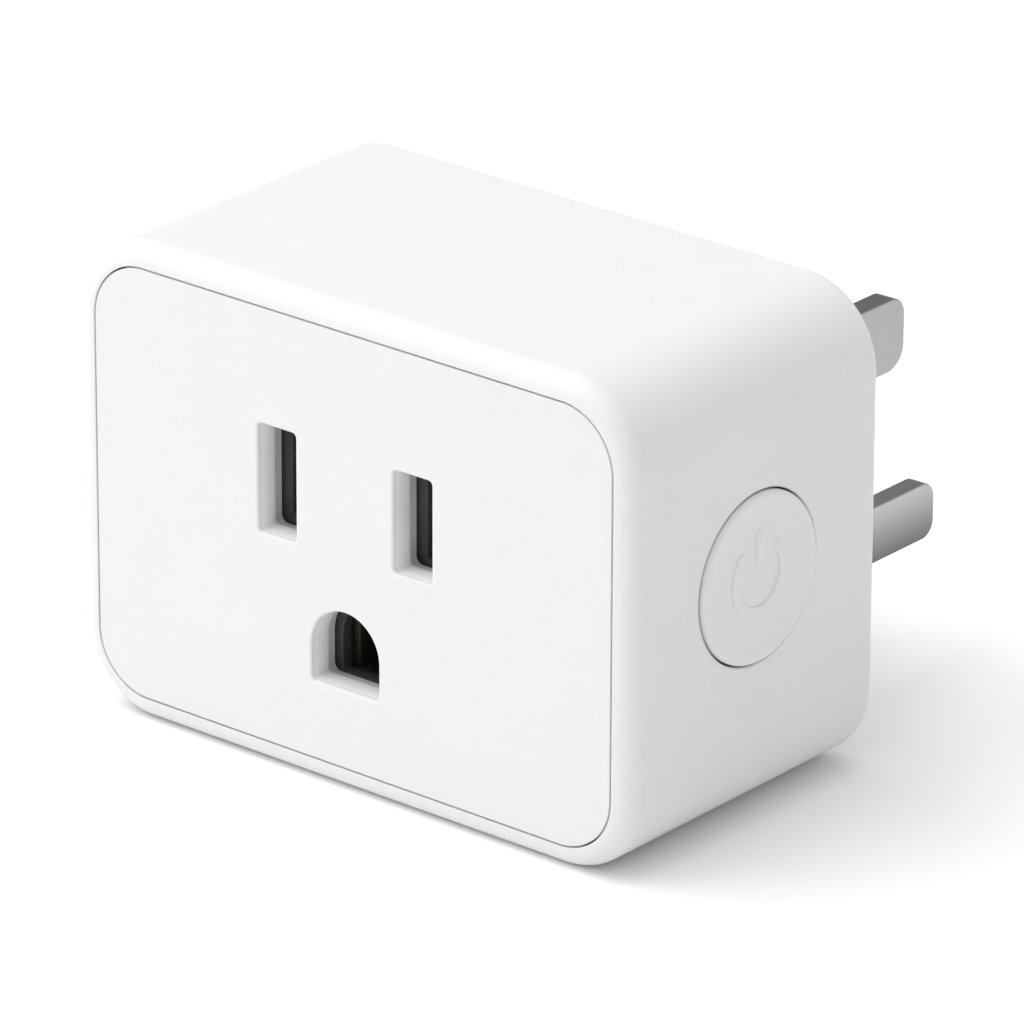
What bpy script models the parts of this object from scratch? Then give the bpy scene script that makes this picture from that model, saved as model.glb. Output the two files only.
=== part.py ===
"""Compact Wi-Fi smart plug: a white box with one grounded outlet, prongs behind and a side button.

Metres, +Z up. The origin is the centre of the rear cover's wall-contact face. +Y points into the
wall, so the outlet faces -Y, and +X is the side with the button. Every visible object is one
separate physical piece.
"""

import math

import bmesh
import bpy
from mathutils import Matrix, Vector

MM = 0.001


def mm(*values):
    """A vector in metres from millimetres."""
    return Vector(values) * MM


# ---------------------------------------------------------------- driving dimensions

WIDTH = 51.8 * MM
HEIGHT = 37.2 * MM
DEPTH = 28.4 * MM
CORNER_RADIUS = 6.4 * MM
FRONT_FILLET = 1.6 * MM
REAR_FILLET = 0.9 * MM
WALL = 2.0 * MM
GAP = 0.3 * MM  # assembly gap between neighbouring pieces
SEAM = 0.13 * MM  # visible gap round the front cover

RIM = 1.85 * MM  # housing rim round the front cover
COVER_THICKNESS = 1.9 * MM
FRONT_WALL = 0.85 * MM  # housing wall behind the front cover
REAR_COVER_INSET = 1.2 * MM
REAR_COVER_THICKNESS = 2.0 * MM
REAR_STEP = 0.5 * MM  # the rear cover stands this far behind the housing's rear rim

# NEMA 5-15 spacing, then the prongs' own sections and lengths
BLADE_SPACING = 12.7 * MM
GROUND_DROP = 11.9 * MM
BLADE_HEIGHT = 4.4 * MM
BLADE_THICKNESS = 1.7 * MM
BLADE_LENGTH = 17.4 * MM
GROUND_PIN_THICKNESS = 1.9 * MM
GROUND_PIN_HEIGHT = 5.7 * MM
GROUND_PIN_LENGTH = 21.6 * MM
PRONG_EDGE = 0.2 * MM

OUTLET_X = -0.4 * MM
OUTLET_Z = 3.8 * MM  # centre line of the two blade contacts
SLOTS_Z = 3.7 * MM
SLOT_WIDTH = 3.9 * MM
NEUTRAL_SLOT_HEIGHT = 8.7 * MM
LINE_SLOT_HEIGHT = 8.2 * MM
GROUND_HOLE_Z = -7.85 * MM  # centre of its round part
GROUND_HOLE_WIDTH = 6.65 * MM
GROUND_HOLE_HEIGHT = 6.3 * MM

PRONGS_X = 10.2 * MM  # midway between the blades
BLADES_Z = -6.25 * MM
GROUND_PIN_Z = 4.9 * MM
PIN_TAIL_Z = 5.95 * MM  # the pin's tail leaves its collar above the pin's middle

BUTTON_RADIUS = 6.45 * MM
BUTTON_CLEARANCE = 0.15 * MM
BUTTON_PROUD = 0.3 * MM
BUTTON_TRAVEL = 0.35 * MM
BUTTON_Y = -14.3 * MM
BUTTON_Z = 0.8 * MM

BOARD_FRONT = -7.4 * MM
BOARD_REAR = -5.8 * MM
BUS_FRONT = -5.3 * MM
BUS_REAR = -4.5 * MM

SWITCH_TOP = 21.2 * MM
SWITCH_BOTTOM = 19.0 * MM
BUTTON_BOARD_FACE = SWITCH_BOTTOM - 0.05 * MM
BUTTON_BOARD_REAR = BUTTON_BOARD_FACE - 0.8 * MM
BUTTON_BOARD_END = -20.0 * MM

FRONT = -DEPTH
COVER_REAR = FRONT + COVER_THICKNESS
RECESS_FLOOR = COVER_REAR + 0.15 * MM
CAVITY_FRONT = RECESS_FLOOR + FRONT_WALL
HOUSING_REAR = -REAR_STEP
INNER_X = WIDTH / 2 - WALL
INNER_Z = HEIGHT / 2 - WALL
OUTLET_GROUND_Z = OUTLET_Z - GROUND_DROP
NEUTRAL_X = OUTLET_X - BLADE_SPACING / 2  # outlet contacts, seen from the front: neutral left, line right
LINE_X = OUTLET_X + BLADE_SPACING / 2
NEUTRAL_PRONG_X = PRONGS_X + BLADE_SPACING / 2  # the prongs sit ground up, so their sides swap
LINE_PRONG_X = PRONGS_X - BLADE_SPACING / 2

CASE_SCREWS = [(sx * 20.9 * MM, sz * 13.7 * MM) for sx in (-1, 1) for sz in (-1, 1)]
CASE_BOSS_RADIUS = 2.6 * MM
BOARD_SCREWS = [(-12.8 * MM, -14.7 * MM), (12.0 * MM, -14.7 * MM), (13.5 * MM, 14.7 * MM)]
BOARD_POST_RADIUS = 2.2 * MM
RETAINER_PEGS = [(10.2 * MM, -6.0 * MM), (17.2 * MM, 7.4 * MM), (3.2 * MM, 7.4 * MM)]
PEG_RADIUS = 1.0 * MM
PEG_END = -4.4 * MM
PILOT_RADIUS = 1.2 * MM
SHANK_RADIUS = 1.0 * MM

# ---------------------------------------------------------------- scene and materials

for leftover in list(bpy.data.objects):
    bpy.data.objects.remove(leftover, do_unlink=True)

plug = bpy.data.collections.new("smart_plug")
cutters = bpy.data.collections.new("cutters")
for group in (plug, cutters):
    bpy.context.scene.collection.children.link(group)


def material(name, colour, roughness, metallic=0.0):
    made = bpy.data.materials.new(name)
    made.use_nodes = True
    shader = made.node_tree.nodes["Principled BSDF"]
    shader.inputs["Base Color"].default_value = (*colour, 1.0)
    shader.inputs["Roughness"].default_value = roughness
    shader.inputs["Metallic"].default_value = metallic
    made.diffuse_color = (*colour, 1.0)
    return made


WHITE = material("white_plastic", (0.90, 0.91, 0.92), 0.35)
BLACK = material("black_plastic", (0.03, 0.03, 0.03), 0.5)
CREAM = material("cream_plastic", (0.75, 0.70, 0.58), 0.5)
NICKEL = material("nickel_plate", (0.62, 0.61, 0.60), 0.25, 1.0)
BRASS = material("brass", (0.75, 0.58, 0.28), 0.3, 1.0)
STEEL = material("steel", (0.55, 0.55, 0.56), 0.35, 1.0)
COPPER = material("copper_wire", (0.72, 0.33, 0.16), 0.35, 1.0)
FERRITE = material("ferrite", (0.10, 0.10, 0.11), 0.7)
BOARD = material("circuit_board", (0.03, 0.22, 0.10), 0.45)
RELAY = material("relay_blue", (0.05, 0.16, 0.42), 0.4)
CAN = material("capacitor_sleeve", (0.06, 0.07, 0.09), 0.4)
VARISTOR = material("varistor_coat", (0.10, 0.24, 0.55), 0.55)
RESISTOR = material("resistor_body", (0.28, 0.38, 0.36), 0.6)
LED = material("led_lens", (0.85, 0.88, 0.80), 0.2)


# ---------------------------------------------------------------- modelling helpers


def add(name, data, made_of=None, place=(0, 0, 0), collection=plug):
    obj = bpy.data.objects.new(name, data)
    obj.location = place
    collection.objects.link(obj)
    if made_of:
        own = made_of.copy()
        own.name = name + "_finish"
        data.materials.append(own)
    return obj


def mesh_from(name, bm):
    data = bpy.data.meshes.new(name)
    bmesh.ops.recalc_face_normals(bm, faces=bm.faces)
    bm.to_mesh(data)
    bm.free()
    data.shade_smooth()
    data.set_sharp_from_angle(angle=math.radians(35))
    return data


def hide(cutter):
    cutter.hide_render = True
    cutter.display_type = "WIRE"
    return cutter


def span(low, high):
    """Centre and size of the box between two corners."""
    low, high = Vector(low), Vector(high)
    return (low + high) / 2, high - low


def edges_along(bm, axis):
    """Edges parallel to an axis (0, 1 or 2)."""
    found = []
    for edge in bm.edges:
        direction = (edge.verts[1].co - edge.verts[0].co).normalized()
        if abs(direction[axis]) > 0.999:
            found.append(edge)
    return found


def edges_on_plane(bm, axis, value):
    """Edges whose two ends both lie on the plane axis = value."""
    return [e for e in bm.edges if all(abs(v.co[axis] - value) < 1e-7 for v in e.verts)]


def bevel(bm, edges, radius, segments):
    bmesh.ops.bevel(
        bm,
        geom=edges,
        offset=radius,
        offset_type="OFFSET",
        segments=segments,
        profile=0.5,
        affect="EDGES",
    )


def box(name, low, high, made_of=None, radius=0.0, axis=1, segments=6, collection=plug):
    """A box between two corners, with the four edges along one axis rounded."""
    centre, size = span(low, high)
    bm = bmesh.new()
    bmesh.ops.create_cube(bm, size=1.0)
    bmesh.ops.scale(bm, vec=size, verts=bm.verts)
    if radius:
        bevel(bm, edges_along(bm, axis), radius, segments)
    return add(name, mesh_from(name, bm), made_of, centre, collection)


STANDING = Matrix.Rotation(math.radians(90), 4, "X")  # turned parts whose height runs along -Y
AXIS_TURN = {
    0: Matrix.Rotation(math.radians(90), 4, "Y"),
    1: Matrix.Rotation(math.radians(-90), 4, "X"),
    2: Matrix.Identity(4),
}


def cylinder(name, centre, radius, length, axis, made_of=None, sides=24, collection=plug):
    bm = bmesh.new()
    bmesh.ops.create_cone(
        bm, cap_ends=True, segments=sides, radius1=radius, radius2=radius, depth=length
    )
    bmesh.ops.transform(bm, matrix=AXIS_TURN[axis], verts=bm.verts)
    return add(name, mesh_from(name, bm), made_of, centre, collection)


def turned(name, profile, place, turn, made_of=None, steps=24, collection=plug):
    """A solid of revolution. The profile holds (radius, height) points, from the top down the outer side."""
    data = bpy.data.meshes.new(name)
    points = [(radius, 0.0, height) for radius, height in profile]
    data.from_pydata(points, [(i, i + 1) for i in range(len(points) - 1)], [])
    obj = add(name, data, made_of, place, collection)
    obj.rotation_euler = turn.to_euler()
    screw = obj.modifiers.new("turn", "SCREW")
    screw.axis = "Z"
    screw.steps = steps
    screw.render_steps = steps
    screw.use_merge_vertices = True
    screw.merge_threshold = 1e-6
    screw.use_smooth_shade = False
    return obj


def arc(centre, radius, start, end, steps):
    """Points of an arc in a plane, angles in degrees."""
    points = []
    for step in range(steps + 1):
        angle = math.radians(start + (end - start) * step / steps)
        points.append((centre[0] + radius * math.cos(angle), centre[1] + radius * math.sin(angle)))
    return points


def arch(width, height, steps=12):
    """Outline of a D shape centred on its round part's centre: half circle on top, flat below."""
    radius = width / 2
    return arc((0, 0), radius, 0, 180, steps) + [(-radius, radius - height), (radius, radius - height)]


FACING = {
    "front": Matrix(((1, 0, 0), (0, 0, -1), (0, 1, 0))).to_4x4(),  # outline in XZ, thickness along Y
    "side": Matrix(((0, 0, 1), (1, 0, 0), (0, 1, 0))).to_4x4(),  # outline in YZ, thickness along X
}


def outline_plate(name, outlines, facing, start, end, made_of=None, edge=0.0, collection=plug):
    """A flat piece between two planes. The first outline is its edge and the rest are holes."""
    curve = bpy.data.curves.new(name, "CURVE")
    curve.dimensions = "2D"
    curve.fill_mode = "BOTH"
    curve.extrude = abs(end - start) / 2 - edge
    curve.bevel_depth = edge
    curve.bevel_resolution = 0
    curve.offset = -edge
    for outline in outlines:
        spline = curve.splines.new("POLY")
        spline.points.add(len(outline) - 1)
        for point, (u, v) in zip(spline.points, outline):
            point.co = (u, v, 0, 1)
        spline.use_cyclic_u = True
    middle = (start + end) / 2
    place = {"front": (0, middle, 0), "side": (middle, 0, 0)}[facing]
    return as_mesh(name, curve, FACING[facing], place, made_of, collection)


def as_mesh(name, curve, turn, place, made_of, collection):
    """Turns a curve into a welded mesh object, so that it can be cut and joined."""
    guide = bpy.data.objects.new(name + "_guide", curve)
    bpy.context.scene.collection.objects.link(guide)
    graph = bpy.context.evaluated_depsgraph_get()
    data = bpy.data.meshes.new_from_object(guide.evaluated_get(graph))
    bpy.data.objects.remove(guide, do_unlink=True)
    bm = bmesh.new()
    bm.from_mesh(data)
    bpy.data.meshes.remove(data)
    bmesh.ops.remove_doubles(bm, verts=bm.verts, dist=1e-6)
    bmesh.ops.transform(bm, matrix=turn, verts=bm.verts)
    return add(name, mesh_from(name, bm), made_of, place, collection)


def sheet(name, path, plane, start, end, thickness, made_of=None):
    """Bent sheet metal: an open strip that follows a path, given a thickness by Solidify.

    plane "XY" bends about Z and spans start to end in Z; "XZ" spans Y; "YZ" spans X.
    """
    place = {
        "XY": lambda u, v, w: (u, v, w),
        "XZ": lambda u, v, w: (u, w, v),
        "YZ": lambda u, v, w: (w, u, v),
    }[plane]
    bm = bmesh.new()
    first = [bm.verts.new(place(u, v, start)) for u, v in path]
    strip = [bm.edges.new(pair) for pair in zip(first, first[1:])]
    grown = bmesh.ops.extrude_edge_only(bm, edges=strip)["geom"]
    shift = Vector(place(0, 0, end - start))
    bmesh.ops.translate(bm, vec=shift, verts=[v for v in grown if isinstance(v, bmesh.types.BMVert)])
    obj = add(name, mesh_from(name, bm), made_of)
    solid = obj.modifiers.new("thickness", "SOLIDIFY")
    solid.thickness = thickness
    solid.offset = 0.0
    solid.use_even_offset = True
    return obj


def boolean(target, operation, others):
    """Cuts or joins, in order. The other shapes stay in the file as hidden helpers."""
    for other in others:
        step = target.modifiers.new(operation.lower(), "BOOLEAN")
        step.operation = operation
        step.solver = "EXACT"
        step.object = hide(other)
    return target


def cut(target, *others):
    return boolean(target, "DIFFERENCE", others)


def join(target, *others):
    return boolean(target, "UNION", others)


def pivot(obj, point):
    """Moves an object's origin to a point on its joint axis."""
    obj.data.transform(Matrix.Translation(obj.location - Vector(point)))
    obj.location = point
    return obj


def cut_box(name, low, high, radius=0.0, axis=1, segments=4):
    return box(name, low, high, radius=radius, axis=axis, segments=segments, collection=cutters)


def cut_outline(name, outline, y_low, y_high):
    return outline_plate(name, [outline], "front", y_low, y_high, collection=cutters)


def cut_cylinder(name, centre, radius, length, axis, sides=24):
    return cylinder(name, centre, radius, length, axis, sides=sides, collection=cutters)


def centred(x, z, width, height, y_low, y_high):
    """Corners of a box centred on (x, z) and running from y_low to y_high."""
    return (x - width / 2, y_low, z - height / 2), (x + width / 2, y_high, z + height / 2)


def shifted(outline, x, z):
    return [(u + x, v + z) for u, v in outline]


# ---------------------------------------------------------------- casing


def outlet_cutters(name, y_low, y_high, grow=0.0):
    """The two blade slots and the ground hole, each grown outwards a little."""
    slots = [
        cut_box(
            f"{name}_{side}_slot",
            *centred(x, SLOTS_Z, SLOT_WIDTH + 2 * grow, height + 2 * grow, y_low, y_high),
            radius=0.5 * MM,
        )
        for side, x, height in (
            ("neutral", NEUTRAL_X, NEUTRAL_SLOT_HEIGHT),
            ("line", LINE_X, LINE_SLOT_HEIGHT),
        )
    ]
    hole = arch(GROUND_HOLE_WIDTH + 2 * grow, GROUND_HOLE_HEIGHT + 2 * grow)
    hole = shifted(hole, OUTLET_X, GROUND_HOLE_Z)
    slots.append(cut_outline(f"{name}_ground_hole", hole, y_low, y_high))
    return slots


def rounded_tray(name, y_low, y_high, inset, collection, made_of=None):
    """A box with the housing's rounded outline, moved in by inset all round."""
    half_x, half_z = WIDTH / 2 - inset, HEIGHT / 2 - inset
    low, high = (-half_x, y_low, -half_z), (half_x, y_high, half_z)
    return box(name, low, high, made_of, CORNER_RADIUS - inset, 1, 8, collection)


def housing():
    """One-piece shell: side walls and a thin front wall behind the face plate, open at the rear."""
    centre, size = span((-WIDTH / 2, FRONT, -HEIGHT / 2), (WIDTH / 2, HOUSING_REAR, HEIGHT / 2))
    bm = bmesh.new()
    bmesh.ops.create_cube(bm, size=1.0)
    bmesh.ops.scale(bm, vec=size, verts=bm.verts)
    bevel(bm, edges_along(bm, 1), CORNER_RADIUS, 8)
    bevel(bm, edges_on_plane(bm, 1, -size.y / 2), FRONT_FILLET, 4)
    bevel(bm, edges_on_plane(bm, 1, size.y / 2), REAR_FILLET, 3)
    shell = add("housing", mesh_from("housing", bm), WHITE, centre)

    past = 1.0 * MM
    recess = rounded_tray("front_recess", FRONT - past, RECESS_FLOOR, RIM - SEAM, cutters)
    cavity = rounded_tray("cavity", CAVITY_FRONT, past, WALL, cutters)
    ledge_inset = REAR_COVER_INSET - 0.15 * MM
    ledge = rounded_tray("rear_ledge", -REAR_COVER_THICKNESS - 0.2 * MM, past, ledge_inset, cutters)

    boss_rear = -REAR_COVER_THICKNESS - GAP
    post_rear = BOARD_FRONT - 0.1 * MM
    columns = [(x, z, CASE_BOSS_RADIUS, boss_rear) for x, z in CASE_SCREWS]
    columns += [(x, z, BOARD_POST_RADIUS, post_rear) for x, z in BOARD_SCREWS]
    solid, pilots = [], []
    for number, (x, z, radius, rear) in enumerate(columns, 1):
        front = CAVITY_FRONT - past
        middle = (x, (front + rear) / 2, z)
        solid.append(cut_cylinder(f"boss_{number}", middle, radius, rear - front, 1, 16))
        depth = 11.0 * MM
        place = (x, rear + past - depth / 2, z)
        pilots.append(cut_cylinder(f"pilot_{number}", place, PILOT_RADIUS, depth, 1, 12))
    side, rib_end, rib_half = 0.6 * MM, BUTTON_BOARD_END + 0.8 * MM, 3.5 * MM
    low = (BUTTON_BOARD_REAR - side, CAVITY_FRONT - past, BUTTON_Z - rib_half)
    high = (BUTTON_BOARD_FACE + side, rib_end, BUTTON_Z + rib_half)
    cut(cavity, *solid, cut_box("board_rib", low, high))
    slack = 0.1 * MM
    low = (BUTTON_BOARD_REAR - slack, BUTTON_BOARD_END - GAP, BUTTON_Z - rib_half - past)
    high = (BUTTON_BOARD_FACE + slack, rib_end + slack, BUTTON_Z + rib_half + past)
    groove = cut_box("rib_groove", low, high)

    hole = cut_cylinder(
        "button_hole",
        (WIDTH / 2, BUTTON_Y, BUTTON_Z),
        BUTTON_RADIUS + BUTTON_CLEARANCE,
        4 * WALL,
        0,
        40,
    )
    slots = outlet_cutters("housing", RECESS_FLOOR - past, CAVITY_FRONT + past, 0.1 * MM)
    return cut(shell, recess, cavity, ledge, hole, groove, *slots, *pilots)


def front_cover():
    """The inset face plate with the outlet's openings."""
    cover = rounded_tray("front_cover", FRONT, COVER_REAR, RIM, plug, WHITE)
    past = 1.0 * MM
    return cut(cover, *outlet_cutters("cover", FRONT - past, COVER_REAR + past))


def case_screw_seat(number, x, z):
    """Counterbore for the screw's head and the hole for its shank."""
    seat = 1.3 * MM
    past = 1.0 * MM
    hole = 6.0 * MM
    return [
        cut_cylinder(f"seat_{number}", (x, (past - seat) / 2, z), 2.25 * MM, past + seat, 1, 24),
        cut_cylinder(f"shank_hole_{number}", (x, -hole / 4, z), SHANK_RADIUS + 0.25 * MM, hole, 1, 16),
    ]


def prong_outline(kind, grow):
    if kind == "ground":
        width, height = GROUND_PIN_THICKNESS + 2 * grow, GROUND_PIN_HEIGHT + 2 * grow
        return rectangle(PRONGS_X, GROUND_PIN_Z, width, height)
    x = NEUTRAL_PRONG_X if kind == "neutral" else LINE_PRONG_X
    return rectangle(x, BLADES_Z, BLADE_THICKNESS + 2 * grow, BLADE_HEIGHT + 2 * grow)


def rear_cover():
    """Back plate: holes for the prongs, seats for four screws and three pegs for the prong retainer."""
    front = -REAR_COVER_THICKNESS
    cover = rounded_tray("rear_cover", front, 0, REAR_COVER_INSET, plug, WHITE)
    past = 1.0 * MM
    pegs = []
    for number, (x, z) in enumerate(RETAINER_PEGS, 1):
        rear = front + past
        middle = (x, (PEG_END + rear) / 2, z)
        pegs.append(cut_cylinder(f"peg_{number}", middle, PEG_RADIUS, rear - PEG_END, 1, 12))
    holes = [
        cut_outline(f"{kind}_prong_hole", prong_outline(kind, 0.1 * MM), front - past, past)
        for kind in ("line", "neutral", "ground")
    ]
    seats = [part for n, (x, z) in enumerate(CASE_SCREWS, 1) for part in case_screw_seat(n, x, z)]
    return cut(join(cover, *pegs), *holes, *seats)


def screw(name, place, head_radius, head_height, length):
    """A self-tapping screw driven along -Y, with a cross recess. place is the top of its head."""
    profile = [
        (0, 0),
        (head_radius * 0.8, 0),
        (head_radius, -head_height * 0.3),
        (head_radius, -head_height),
        (SHANK_RADIUS, -head_height),
        (SHANK_RADIUS, -length + 1.2 * MM),
        (0.25 * MM, -length),
        (0, -length),
    ]
    made = turned(name, profile, place, AXIS_TURN[1], STEEL, 12)
    arm, depth = head_radius * 0.62, head_height * 0.55
    for number, (half_x, half_z) in enumerate(((arm, 0.25 * MM), (0.25 * MM, arm)), 1):
        x, y, z = place
        low = (x - half_x, y - depth, z - half_z)
        high = (x + half_x, y + 1.0 * MM, z + half_z)
        cut(made, cut_box(f"{name}_recess_{number}", low, high))
    return made


# ---------------------------------------------------------------- button and tact switch

FLANGE_OUTER = INNER_X - GAP
FLANGE_INNER = FLANGE_OUTER - 0.8 * MM
STEM_END = 22.0 * MM
SWITCH_HALF = 3.0 * MM
PLUNGER_RADIUS = 1.6 * MM


def button_cap():
    """A turned cap: domed-edge disc through the wall, a flange inside it and a stem onto the switch."""
    top = WIDTH / 2 + BUTTON_PROUD
    edge = 0.35 * MM
    profile = [(0, top)]
    for u, v in reversed(arc((BUTTON_RADIUS - edge, top - edge), edge, 0, 90, 3)):
        profile.append((u, v))
    profile += [
        (BUTTON_RADIUS, FLANGE_OUTER),
        (BUTTON_RADIUS + 1.2 * MM, FLANGE_OUTER),
        (BUTTON_RADIUS + 1.2 * MM, FLANGE_INNER),
        (1.5 * MM, FLANGE_INNER),
        (1.5 * MM, STEM_END),
        (0, STEM_END),
    ]
    return turned("button_cap", profile, (0, BUTTON_Y, BUTTON_Z), AXIS_TURN[0], WHITE, 40)


def switch_square(name, x_low, x_high, made_of):
    """A rounded square on the button's axis."""
    low = (x_low, BUTTON_Y - SWITCH_HALF, BUTTON_Z - SWITCH_HALF)
    high = (x_high, BUTTON_Y + SWITCH_HALF, BUTTON_Z + SWITCH_HALF)
    return box(name, low, high, made_of, 0.4 * MM, 0, 2)


def tact_switch():
    """Low-profile button switch: cup-shaped base, steel cover, snap dome and the moving plunger."""
    lid = 0.25 * MM
    lid_low = SWITCH_TOP - lid
    base = switch_square("tact_switch_base", SWITCH_BOTTOM, lid_low - 0.05 * MM, BLACK)
    well_floor, well_depth, well_radius = SWITCH_BOTTOM + 0.45 * MM, 3.0 * MM, 2.3 * MM
    middle = (well_floor + well_depth / 2, BUTTON_Y, BUTTON_Z)
    cut(base, cut_cylinder("switch_well", middle, well_radius, well_depth, 0, 20))

    cover = switch_square("tact_switch_cover", lid_low, SWITCH_TOP, STEEL)
    middle = (SWITCH_TOP, BUTTON_Y, BUTTON_Z)
    cut(cover, cut_cylinder("switch_cover_hole", middle, PLUNGER_RADIUS + 0.1 * MM, 2.0 * MM, 0, 20))
    dome_rise, dome_radius, wall = 0.35 * MM, 2.0 * MM, 0.12 * MM
    dome_base = well_floor + 0.05 * MM
    outer, inner = [], []
    for step in range(5):
        share = step / 4
        outer.append((dome_radius * share, dome_base + wall + dome_rise * (1 - share**2)))
        inner.append((dome_radius * share, dome_base + dome_rise * (1 - share**2)))
    turned("tact_switch_dome", outer + inner[::-1], (0, BUTTON_Y, BUTTON_Z), AXIS_TURN[0], STEEL, 20)

    plunger_low = dome_base + wall + dome_rise + 0.02 * MM
    top = STEM_END - 0.05 * MM
    flange_top = plunger_low + 0.3 * MM
    travel_room = BUTTON_TRAVEL + 0.05 * MM
    plunger = [
        (0, top),
        (PLUNGER_RADIUS, top),
        (PLUNGER_RADIUS, flange_top + travel_room),
        (2.0 * MM, flange_top + travel_room),
        (2.0 * MM, plunger_low + travel_room),
        (0, plunger_low + travel_room),
    ]
    return turned("tact_switch_plunger", plunger, (0, BUTTON_Y, BUTTON_Z), AXIS_TURN[0], BLACK, 20)


def button_board():
    """Small upright board that carries the tact switch and the status LED, with its flat cable."""
    top = BUTTON_BOARD_FACE
    low = (BUTTON_BOARD_REAR, BUTTON_BOARD_END, -5.5 * MM)
    high = (top, BOARD_FRONT - 0.2 * MM, 7.5 * MM)
    box("button_board", low, high, BOARD)
    led_y, led_z = BUTTON_Y, BUTTON_Z + 4.6 * MM
    low = (top + 0.05 * MM, led_y - 0.8 * MM, led_z - 0.6 * MM)
    high = (top + 1.0 * MM, led_y + 0.8 * MM, led_z + 0.6 * MM)
    box("status_led", low, high, LED, 0.3 * MM, 0, 3)
    bends = [(17.8, 5.6), (17.8, 9.9), (17.0, 10.9), (12.5, 10.9), (10.5, 12.15), (8.6, 12.15)]
    path = [(x * MM, z * MM) for x, z in bends]
    sheet("button_cable", path, "XZ", -12.4 * MM, -9.4 * MM, 0.4 * MM, CREAM)


# ---------------------------------------------------------------- outlet contacts and their holder

HOLDER_FRONT = -25.3 * MM
HOLDER_REAR = -9.6 * MM
LID_REAR = -8.7 * MM
HOLDER_LOW_Z = -12.9 * MM
HOLDER_HIGH_Z = 9.0 * MM
HOLDER_HALF_X = 9.8 * MM
CONTACT_HEIGHT = 7.0 * MM
TAIL_REAR = -4.2 * MM
LINE_TAIL_REAR = -5.45 * MM  # ends under the ground strap
TAIL_WIDTH = 2.4 * MM
TAIL_THICKNESS = 0.8 * MM
GROUND_TAIL_Z = OUTLET_GROUND_Z - 3.35 * MM
GROUND_LEAF_X = 2.75 * MM
LEAF = 0.5 * MM


def blade_contact(name, x, tail_rear):
    """Two leaves that grip a blade, with a flared mouth, a web behind and a tail through the board."""
    half = [(1.75, -24.0), (1.1, -21.9), (1.1, -20.9), (1.7, -17.5), (1.7, -10.6), (1.3, -10.05)]
    left = [(x - u * MM, v * MM) for u, v in half]
    right = [(x + u * MM, v * MM) for u, v in reversed(half)]
    low, high = OUTLET_Z - CONTACT_HEIGHT / 2, OUTLET_Z + CONTACT_HEIGHT / 2
    contact = sheet(name, left + right, "XY", low, high, LEAF, BRASS)
    tail = centred(x, OUTLET_Z, TAIL_THICKNESS, TAIL_WIDTH, -10.1 * MM, tail_rear)
    return join(contact, cut_box(f"{name}_tail", *tail))


def ground_contact():
    """A U-shaped sleeve round the ground pin, with a tail from its lower side."""
    top = OUTLET_GROUND_Z + 2.8 * MM
    left, right = OUTLET_X - GROUND_LEAF_X, OUTLET_X + GROUND_LEAF_X
    path = [(left, top), (left, GROUND_TAIL_Z), (right, GROUND_TAIL_Z), (right, top)]
    contact = sheet("ground_contact", path, "XZ", -23.8 * MM, -12.0 * MM, LEAF, BRASS)
    tail = centred(OUTLET_X, GROUND_TAIL_Z, TAIL_WIDTH, 0.6 * MM, -12.5 * MM, TAIL_REAR)
    return join(contact, cut_box("ground_contact_tail", *tail))


def contact_holder():
    """Insulating block with a cell for each contact, and the lid that closes it from behind."""
    left, right = OUTLET_X - HOLDER_HALF_X, OUTLET_X + HOLDER_HALF_X
    low, high = (left, HOLDER_FRONT, HOLDER_LOW_Z), (right, HOLDER_REAR, HOLDER_HIGH_Z)
    holder = box("contact_holder", low, high, BLACK, 0.8 * MM, 1, 2)
    cell_front = -24.4 * MM
    past = 1.0 * MM
    cells = [
        cut_box(f"{name}_cell", *centred(x, z, width, height, cell_front, past))
        for name, x, z, width, height in (
            ("neutral", NEUTRAL_X, OUTLET_Z, 5.0 * MM, 8.2 * MM),
            ("line", LINE_X, OUTLET_Z, 5.0 * MM, 8.2 * MM),
            ("ground", OUTLET_X, OUTLET_GROUND_Z - 0.3 * MM, 6.6 * MM, 7.4 * MM),
        )
    ]
    front, rear = HOLDER_FRONT - past, cell_front + past
    mouths = [
        cut_box(f"{name}_mouth", *centred(x, OUTLET_Z, 2.3 * MM, 7.6 * MM, front, rear))
        for name, x in (("neutral", NEUTRAL_X), ("line", LINE_X))
    ]
    ground = shifted(arch(5.7 * MM, 5.6 * MM), OUTLET_X, OUTLET_GROUND_Z)
    cut(holder, *cells, *mouths, cut_outline("ground_mouth", ground, front, rear))

    low, high = (left, HOLDER_REAR + 0.1 * MM, HOLDER_LOW_Z), (right, LID_REAR, HOLDER_HIGH_Z)
    lid = box("contact_holder_lid", low, high, BLACK, 0.8 * MM, 1, 2)
    return cut(lid, *tail_slots("lid", 0.15 * MM, HOLDER_REAR - past, LID_REAR + past))


def tail_slots(name, grow, y_low, y_high):
    """Openings for the three contact tails and for the tip of an inserted ground pin."""
    slots = [
        cut_box(
            f"{name}_{side}_tail",
            *centred(x, OUTLET_Z, TAIL_THICKNESS + 2 * grow, TAIL_WIDTH + 2 * grow, y_low, y_high),
        )
        for side, x in (("neutral", NEUTRAL_X), ("line", LINE_X))
    ]
    wide = centred(OUTLET_X, GROUND_TAIL_Z, TAIL_WIDTH + 2 * grow, 0.6 * MM + 2 * grow, y_low, y_high)
    slots.append(cut_box(f"{name}_ground_tail", *wide))
    middle = (OUTLET_X, (y_low + y_high) / 2, OUTLET_GROUND_Z)
    slots.append(cut_cylinder(f"{name}_pin_tip", middle, 2.7 * MM, y_high - y_low, 1, 20))
    return slots


# ---------------------------------------------------------------- prongs, retainer and bus bars

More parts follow.
